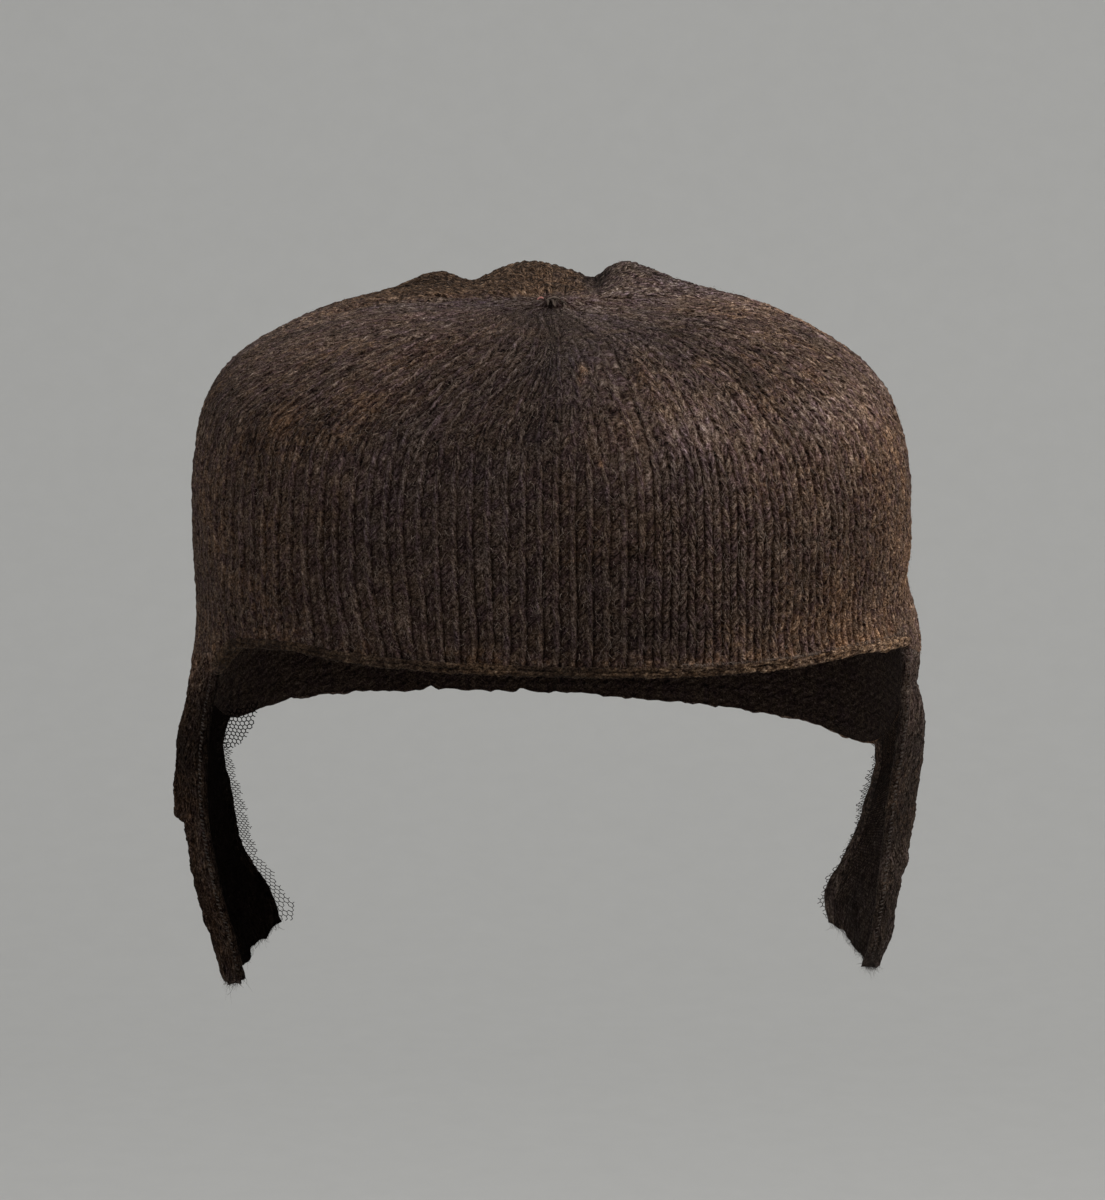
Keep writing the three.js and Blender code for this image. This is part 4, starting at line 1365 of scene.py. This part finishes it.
def wool(name, browns, orange, shine=1.0):
    """Worn wool: a tint for each stitch, strokes of fibre, painted shade in the grooves, painted highlight
    on the crests and a few orange flecks.
    """
    s = Shader(name)
    space = s.node("ShaderNodeTexCoord").outputs["Object"]
    strand = s.node("ShaderNodeUVMap", {"uv_map": "strand"}).outputs["UV"]
    along = s.noise(s.stretched(strand, (1.9, 0.6, 1)), 1.0, 3.0, 0.65)
    slant = s.noise(s.stretched(strand, (3.3, 1.0, 1), 0.8), 1.0, 1.0, 0.6)
    cross = s.noise(s.stretched(strand, (3.3, 1.0, 1), -0.7), 1.0, 1.0, 0.6)
    grain = s.noise(space, 2100, 1.0, 0.6)
    clump = s.noise(space, 620, 2.0, 0.6)
    mottle = s.noise(space, 260, 3.0, 0.6)
    patch = s.noise(space, 70, 3.0, 0.6)
    tint = s.attribute("tint")
    warm = s.attribute("warm")
    choice = s.total([(tint, 0.3), (mottle, 1.0), (clump, 0.7)], -0.5)
    body = s.ramp(choice, [(0.0, browns[0]), (0.33, browns[1]), (0.62, browns[2]), (1.0, browns[3])])
    orange_share = s.total([(clump, 2.0), (patch, 1.3), (s.math("MAXIMUM", warm, 0.0), 1.0)], -2.25)
    orange_share = s.math("MULTIPLY", orange_share, 0.8, clamp=True)
    color = s.blend(body, (*orange, 1), orange_share)
    cool_share = s.math("ADD", 0.55, s.math("MULTIPLY", warm, -1.2), clamp=True)
    color = s.blend(color, (0.91, 1.0, 1.2, 1), cool_share, "MULTIPLY")
    strokes = s.math("MULTIPLY", s.total([(along, 2.3), (slant, 0.5)], -1.4), s.attribute("vivid"))
    light = s.total([(slant, 0.3), (cross, 0.7), (grain, 1.9), (clump, 0.5), (strokes, 1.0)], -0.7)
    fine, finest = s.noise(space, 1100, 1.0), s.noise(space, 2700, 1.0)
    rough = s.total([(clump, 0.4), (fine, 0.7), (finest, 0.8)], -0.95)
    rough = s.math("MULTIPLY", rough, s.attribute("felt"))
    light = s.math("ADD", light, s.math("MULTIPLY", rough, 1.6))
    light = s.math("MAXIMUM", light, 0.25)
    # The lighter the wool, the greyer it is
    light = s.node(
        "ShaderNodeCombineColor",
        Red=s.math("POWER", light, 1.85),
        Green=s.math("POWER", light, 2.05),
        Blue=s.math("POWER", light, 2.2),
    ).outputs[0]
    # Painted shade in the grooves and painted highlight on the crests, read from the open attribute
    deep, low = (0.0, (0.31, 0.25, 0.2)), (0.45, (0.6, 0.56, 0.52))
    high, crest = (0.8, (0.97, 0.97, 0.96)), (1.0, (1.24, 1.28, 1.33))
    cavity = s.ramp(s.attribute("open"), [deep, low, high, crest])
    shade = s.math("MULTIPLY", s.attribute("tone"), s.math("ADD", 0.84, s.math("MULTIPLY", tint, 0.32)))
    shade = s.blend(s.blend(cavity, shade, 1.0, "MULTIPLY"), light, 1.0, "MULTIPLY")
    color = s.blend(color, shade, 1.0, "MULTIPLY")
    # A few pale specks of lint
    specks = s.node("ShaderNodeTexVoronoi", {"feature": "F1"}, Vector=space, Scale=330.0)
    speck = s.math("LESS_THAN", specks.outputs["Distance"], 0.06)
    red = s.node("ShaderNodeSeparateColor", Color=specks.outputs["Color"]).outputs[0]
    speck = s.math("MULTIPLY", s.math("MULTIPLY", speck, s.math("GREATER_THAN", red, 0.95)), 0.4)
    color = s.blend(color, (0.3, 0.25, 0.21, 1), speck)
    height = s.total([(along, 0.5), (slant, 0.35), (cross, 0.35), (grain, 0.6), (clump, 0.8)])
    return s.surface(
        color,
        (height, 1.0, 0.0007),
        Roughness=0.85,
        Specular_IOR_Level=0.045 * shine,
        Sheen_Weight=0.035 * shine,
        Sheen_Roughness=0.45,
        Sheen_Tint=(0.75, 0.62, 0.52, 1),
    )


def thread(name, dark, light, roughness=0.7, gloss=0.25):
    """Fine thread or loose fibre: two tones that change along it."""
    s = Shader(name)
    space = s.node("ShaderNodeTexCoord").outputs["Object"]
    change = s.noise(space, 420, 2.0, 0.6)
    tint = s.attribute("tint")
    share = s.math("ADD", s.math("MULTIPLY", change, 0.9), s.math("MULTIPLY", tint, 0.6))
    share = s.math("SUBTRACT", share, 0.25, clamp=True)
    color = s.blend((*dark, 1), (*light, 1), share)
    relief = (s.noise(space, 2500, 2.0), 0.5, 0.00005)
    return s.surface(color, relief, Roughness=roughness, Specular_IOR_Level=gloss)


def backdrop_material():
    """Pale, faintly mottled paper."""
    s = Shader("backdrop_paper")
    space = s.node("ShaderNodeTexCoord").outputs["Object"]
    grain = s.noise(space, 60, 4.0, 0.6)
    color = s.ramp(grain, [(0.0, (0.565, 0.565, 0.55)), (1.0, (0.60, 0.60, 0.585))])
    return s.surface(color, Roughness=0.95, Specular_IOR_Level=0.1)


BROWNS = [
    (0.0250, 0.0142, 0.0132), (0.0385, 0.0228, 0.0198), (0.0405, 0.0262, 0.0180), (0.0610, 0.0388, 0.0295)
]
EDGE_BROWNS = [
    (0.0270, 0.0152, 0.0108), (0.0430, 0.0253, 0.0170), (0.0470, 0.0295, 0.0185), (0.0710, 0.0450, 0.0300)
]
FLAP_BROWNS = [
    (0.0245, 0.0146, 0.0130), (0.0380, 0.0240, 0.0200), (0.0400, 0.0270, 0.0195), (0.0600, 0.0400, 0.0310)
]
FLAP_ORANGE = (0.08, 0.043, 0.025)
WOOL = wool("brown_wool", BROWNS, (0.083, 0.0455, 0.0255))
EDGE_WOOL = wool("edging_wool", EDGE_BROWNS, (0.125, 0.072, 0.04))
FLAP_WOOL = wool("flap_wool", FLAP_BROWNS, FLAP_ORANGE)
# A shaded copy of the flap wool for the left flap, with less sheen and gloss so that its painted shade stays
# dark
SHADED_FLAP_WOOL = wool("shaded_flap_wool", FLAP_BROWNS, FLAP_ORANGE, 0.15)
# The left flap's net is a darker copy of the right's, painted shade for the left flap's shaded inside
NET = thread("net_thread", (0.005, 0.0036, 0.0032), (0.02, 0.0135, 0.0115), 1.0, 0.0)
LIGHTER_NET = thread("lighter_net_thread", (0.01, 0.0072, 0.0062), (0.04, 0.027, 0.023), 1.0, 0.0)
# The loose fibres are much paler than the wool, a painted highlight for the light they catch
HIGHLIT_FIBRE = thread("highlit_loose_wool", (0.06, 0.042, 0.033), (0.29, 0.225, 0.185), 0.9, 0.1)
TORN = thread("torn_wool", (0.018, 0.012, 0.0095), (0.09, 0.062, 0.048))
SEWING = thread("sewing_thread", (0.024, 0.018, 0.015), (0.085, 0.065, 0.053))
# A darker copy of the sewing thread for the left flap, painted shade like the flap's own
SHADED_SEWING = thread("shaded_sewing_thread", (0.014, 0.0105, 0.0085), (0.075, 0.057, 0.046))
POINT_WOOL = thread("point_wool", (0.024, 0.017, 0.0135), (0.15, 0.115, 0.092), 0.9, 0.1)
PINK = thread("faded_red_thread", (0.22, 0.08, 0.07), (0.5, 0.24, 0.2))
PAPER = backdrop_material()


def ragged_edge(across, moved, large, small, layer):
    """Where a flap's lower edge is torn away, as a share of its length."""
    flat = np.stack([across * 80, across * 0 + moved[0], across * 0 + moved[1]], axis=-1)
    torn = 0.009 * (1 + soft_noise(flat, large, layer)) + 0.006 * (1 + soft_noise(flat, small, layer + 1))
    return 1 - torn


def left_ragged(across):
    return ragged_edge(across, (0, 5), 7, 2.2, 70)


def right_ragged(across):
    return ragged_edge(across, (9, 0), 6, 2.0, 72)


# Stitches as first and last wale, with columns of points to a wale and rows to a round
for name, first, last, across, down in [
    ("knit_front_left", 33, 55, 12, 5),
    ("knit_front_middle", 55, 77, 12, 5),
    ("knit_front_right", 77, 99, 12, 5),
    ("knit_back_left", 0, 33, 4, 3),
    ("knit_back_right", 99, 132, 4, 3),
]:
    knit_shell(name, first, last, across, down, WOOL)
point_piece(WOOL)
inner_shell(WOOL)
brow_edging(EDGE_WOOL)

# Places down a flap, and how light its outside is there. The dark stretch in the middle of the right flap's
# outside is painted shadow.
LEFT_LIGHTNESS = ([0, 0.07, 0.13, 0.2, 0.5, 0.57, 0.72, 1], [3.6, 2.9, 1.8, 1.1, 0.95, 1.6, 1.5, 1.2])
RIGHT_LIGHTNESS = (
    [0, 0.08, 0.2, 0.3, 0.38, 0.58, 0.63, 0.7, 0.76, 1],
    [1.8, 1.4, 1.3, 1.1, 0.65, 0.6, 1.15, 1.1, 0.6, 0.6],
)
# Painted shade: the left flap, turned away from the light, is painted much darker than the right, its inside
# darkest
LEFT_SHADES = (0.39, 0.33, 0.13)
RIGHT_SHADES = (0.95, 0.8, 0.9)
left_flap = flap_piece(
    "ear_flap_left_knit", LEFT_FLAP, LEFT, left_ragged, LEFT_SHADES, LEFT_LIGHTNESS, SHADED_FLAP_WOOL
)
right_flap = flap_piece(
    "ear_flap_right_knit", RIGHT_FLAP, RIGHT, right_ragged, RIGHT_SHADES, RIGHT_LIGHTNESS, FLAP_WOOL
)
left_net = net_piece(
    "net_lining_left_threads", LEFT_FLAP, LEFT, LEFT_NET_OVERHANG, True, NET, left_ragged
)
right_net = net_piece(
    "net_lining_right_threads", RIGHT_FLAP, RIGHT, RIGHT_NET_OVERHANG, False, LIGHTER_NET, right_ragged
)


def hem_stitches(name, sections, span, material):
    """Close overcast stitches round the front edge of a flap."""
    parts = []
    half = EDGE_THICKNESS / 2
    steps = 8
    spacing = 0.0118
    for down in np.arange(0.03, 0.97, spacing):
        start = 34 + 14 * chance(down * 85, 3)
        turns = np.radians(np.linspace(start, start + 16 + 16 * chance(down * 85, 2), steps))
        d = down + 0.005 * np.linspace(0, 1, steps) + 0.005 * (chance(down * 85, 1) - 0.5)
        zero = np.zeros(steps)
        front = flap_point(sections, span, zero, d)
        normal = flap_normal(sections, span, zero, d)
        forward = unit(front - flap_point(sections, span, zero + 0.02, d))
        path = front - normal * half + normal * ((half + 0.22) * np.cos(turns))[:, None]
        path = path + forward * ((1.22 + 0.1 * np.sin(down * 70)) * np.sin(turns))[:, None]
        shows = smoothstep(down, 0.12, 0.3) * fall(down, 0.6, 0.97)
        thick = (0.13 + 0.11 * shows) * np.sin(np.linspace(0.25, math.pi - 0.25, steps)) ** 0.5
        parts.append(tube(path, thick, 5))
    points, faces = join(parts)
    tint = chance(np.arange(len(faces)) // len(parts[0][1]), 2, 7)
    return mesh_object(name, points, faces, material, None, {"tint": tint})


left_stitches = hem_stitches("hem_stitches_left", LEFT_FLAP, LEFT, SHADED_SEWING)
right_stitches = hem_stitches("hem_stitches_right", RIGHT_FLAP, RIGHT, SEWING)


def torn_fibres(name, sections, span, ragged, count, layer):
    """Loose wool that stands out of a flap's torn lower end and its rear edge."""
    random = np.random.default_rng(200 + layer)
    a = random.random(count)
    at_rear = random.random(count) < 0.4
    d = np.where(at_rear, random.random(count) ** 0.7, ragged(a))
    a = np.where(at_rear, 1.0, a)
    point = flap_point(sections, span, a, d)
    normal = flap_normal(sections, span, a, d)
    rearward = unit(point - flap_point(sections, span, a - 0.02, d))
    point = point - normal * (WALL * random.uniform(0.1, 0.95, count))[:, None]
    lower = np.array([[0.0, 0.0, -1.0]])
    direction = np.where(at_rear[:, None], rearward + 0.7 * lower, lower + 0.15 * rearward)
    direction = unit(direction + random.normal(0, 0.45, (count, 3)))
    length = random.gamma(2.5, 0.5, count) + 0.4
    lift = random.normal(0, 0.2, count)
    curl = random.normal(0, 0.4, count)
    width = random.uniform(0.08, 0.2, count)
    points, faces = hair_ribbons(point - direction * 0.3, direction, normal, length, lift, curl, width)
    tint = np.repeat(random.random(count) ** 2, RIBBON_STEPS)
    return mesh_object(name, points, faces, TORN, None, {"tint": tint})


left_torn = torn_fibres("torn_fibres_left", LEFT_FLAP, LEFT, left_ragged, 1500, 1)
right_torn = torn_fibres("torn_fibres_right", RIGHT_FLAP, RIGHT, right_ragged, 1500, 2)


def surface_fibres(
    name, count, degrees_range, course_range, layer, length=(0.4, 0.3), spread=0.45, wild=0.12
):
    """Loose fibres of the fulled wool that lie over the stitches and stand out at the outline.

    The length is the shortest fibre's and the spread of what is added to it. The spread is of their
    directions about the wales, and the wild share lies any way.
    """
    random = np.random.default_rng(100 + layer)
    degrees = random.uniform(*degrees_range, count)
    top = random.uniform(0, 1, count) ** 0.8
    ends = course_at(crown_edge_height(degrees))
    course = course_range[0] + (np.minimum(ends, course_range[1]) - 0.3 - course_range[0]) * top
    moved = degrees + lean(degrees, course)
    base = crown.point(moved, course)
    normal = crown.normal(moved, course)
    below = crown.point(degrees + lean(degrees, course + 0.5), course + 0.5)
    down = unit(below - base)
    side = unit(np.cross(normal, down))
    turn = random.normal(0.1, spread, count)
    turn = np.where(random.random(count) < wild, random.uniform(-1.6, 1.6, count), turn)
    direction = down * np.cos(turn)[:, None] + side * np.sin(turn)[:, None]
    reach = random.gamma(3.0, length[1], count) + length[0]
    lift = random.gamma(1.4, 0.1, count)
    curl = random.normal(0, 0.25, count)
    width = random.uniform(0.045, 0.1, count)
    points, faces = hair_ribbons(base + normal * 0.02, direction, normal, reach, lift, curl, width)
    tint = np.repeat(random.random(count) ** 1.6, RIBBON_STEPS)
    return mesh_object(name, points, faces, HIGHLIT_FIBRE, None, {"tint": tint})


surface_fibres("fibres_front", 14000, (-100, 100), (4, 75), 1)
surface_fibres("fibres_back", 4000, (100, 260), (6, 77), 2)
surface_fibres("long_hairs_right", 260, (22, 75), (22, 50), 3, (3.0, 0.9), 0.12, 0.05)
surface_fibres("brow_fray", 420, (20, 68), (61.2, 63.5), 4, (0.4, 0.35), 0.9, 0.5)


def point_thread(material):
    """The faded thread end left where the last loops were drawn up."""
    t = np.linspace(0, 1, 14)
    path = np.stack([-2.4 - 2.6 * t, 2.6 - 0.5 * t, 3.9 + 0.5 * np.sin(t * 5) - 0.5 * t], axis=-1)
    points, faces = tube(path, 0.3 * (1 - 0.5 * t), 6, 2.0, 0.15)
    tint = np.full(len(faces), 0.5)
    return mesh_object("point_thread", points, faces, material, None, {"tint": tint})


point_thread(PINK)


def point_loops(material):
    """The last loops of wool, drawn together over the slit at the point."""
    t = np.linspace(0, 1, 14)
    over = np.sin(math.pi * t)
    parts, tints = [], []
    # Start and end as x and y, how high it arches, how light it is
    for start, end, high, tint in [
        ((-1.6, -0.8), (-1.0, -3.3), 0.4, 0.1),
        ((-0.4, -0.9), (0.7, -4.1), 0.55, 0.2),
        ((1.1, -0.7), (0.5, -3.6), 0.35, 0.05),
        ((2.1, -1.2), (3.6, -3.4), 0.25, 0.15),
        ((-1.5, -1.0), (2.3, -0.8), 0.7, 0.75),
    ]:
        sag = 0.4 * (start[1] - end[1])
        x = mix(start[0], end[0], t) + 0.15 * np.sin(7 * t + start[0])
        path = np.stack([x, mix(start[1], end[1], t), 4.1 - sag * t + high * over], axis=-1)
        points, faces = tube(path, 0.27 * over**0.4 + 0.02, 7, 2.2, 0.25)
        parts.append((points, faces))
        tints.append(np.full(len(faces), tint))
    points, faces = join(parts)
    tint = np.concatenate(tints) + 0.25 * chance(np.arange(len(faces)) // 14, 4, 4)
    return mesh_object("point_loops", points, faces, material, None, {"tint": tint})


point_loops(POINT_WOOL)


def sweep(material):
    """A pale paper floor that curves up into a backdrop far behind."""
    floor_z, wall_y, bend = -0.62, 2.6, 1.2
    profile = [(-3.2, floor_z)]
    for turn in np.radians(np.arange(0, 91, 7.5)):
        profile.append((wall_y - bend + bend * math.sin(turn), floor_z + bend - bend * math.cos(turn)))
    profile.append((wall_y, 4.0))
    points = [(x, y, z) for x in (-4.0, 4.0) for y, z in profile]
    n = len(profile)
    faces = [(n + k, n + k + 1, k + 1, k) for k in range(n - 1)]
    mesh = bpy.data.meshes.new("paper_sweep")
    mesh.from_pydata(points, [], faces)
    mesh.polygons.foreach_set("use_smooth", [True] * len(faces))
    mesh.materials.append(material)
    floor = bpy.data.objects.new("paper_sweep", mesh)
    bpy.context.scene.collection.objects.link(floor)


sweep(PAPER)

CENTRE = Vector((0, 0, -0.0761))
bpy.context.scene.view_settings.view_transform = "Standard"


def soft_light(name, place, size, power, color=(1, 1, 1)):
    """A square light that faces the cap's middle."""
    light = bpy.data.lights.new(name, "AREA")
    light.shape = "SQUARE"
    light.size = size
    light.energy = power
    light.color = color
    lamp = bpy.data.objects.new(name, light)
    lamp.location = place
    lamp.rotation_mode = "QUATERNION"
    lamp.rotation_quaternion = (CENTRE - Vector(place)).to_track_quat("-Z", "Y")
    bpy.context.scene.collection.objects.link(lamp)


soft_light("key_softbox", (1.5, -0.7, 1.5), 1.0, 38, (1.0, 0.98, 0.95))
soft_light("top_softbox", (-0.2, -0.3, 1.95), 1.4, 13)
soft_light("left_fill", (-1.6, -1.4, 0.6), 1.4, 13, (0.97, 0.98, 1.0))

world = bpy.data.worlds.new("studio_air")
world.use_nodes = True
background = world.node_tree.nodes["Background"].inputs
background["Color"].default_value = (0.97, 0.98, 1.0, 1)
background["Strength"].default_value = 0.27
bpy.context.scene.world = world

# The camera is 12 degrees above the cap's middle
DISTANCE = 1.5
VIEW_HEIGHT = 0.3168  # what fills the frame's height there
SENSOR = 36
camera_data = bpy.data.cameras.new("camera")
camera_data.sensor_width = SENSOR
camera_data.lens = SENSOR * DISTANCE / VIEW_HEIGHT
camera = bpy.data.objects.new("camera", camera_data)
bpy.context.scene.collection.objects.link(camera)
rise = math.radians(12)
camera.location = CENTRE + DISTANCE * Vector((0, -math.cos(rise), math.sin(rise)))
camera.rotation_mode = "QUATERNION"
camera.rotation_quaternion = (CENTRE - camera.location).to_track_quat("-Z", "Y")
bpy.context.scene.camera = camera
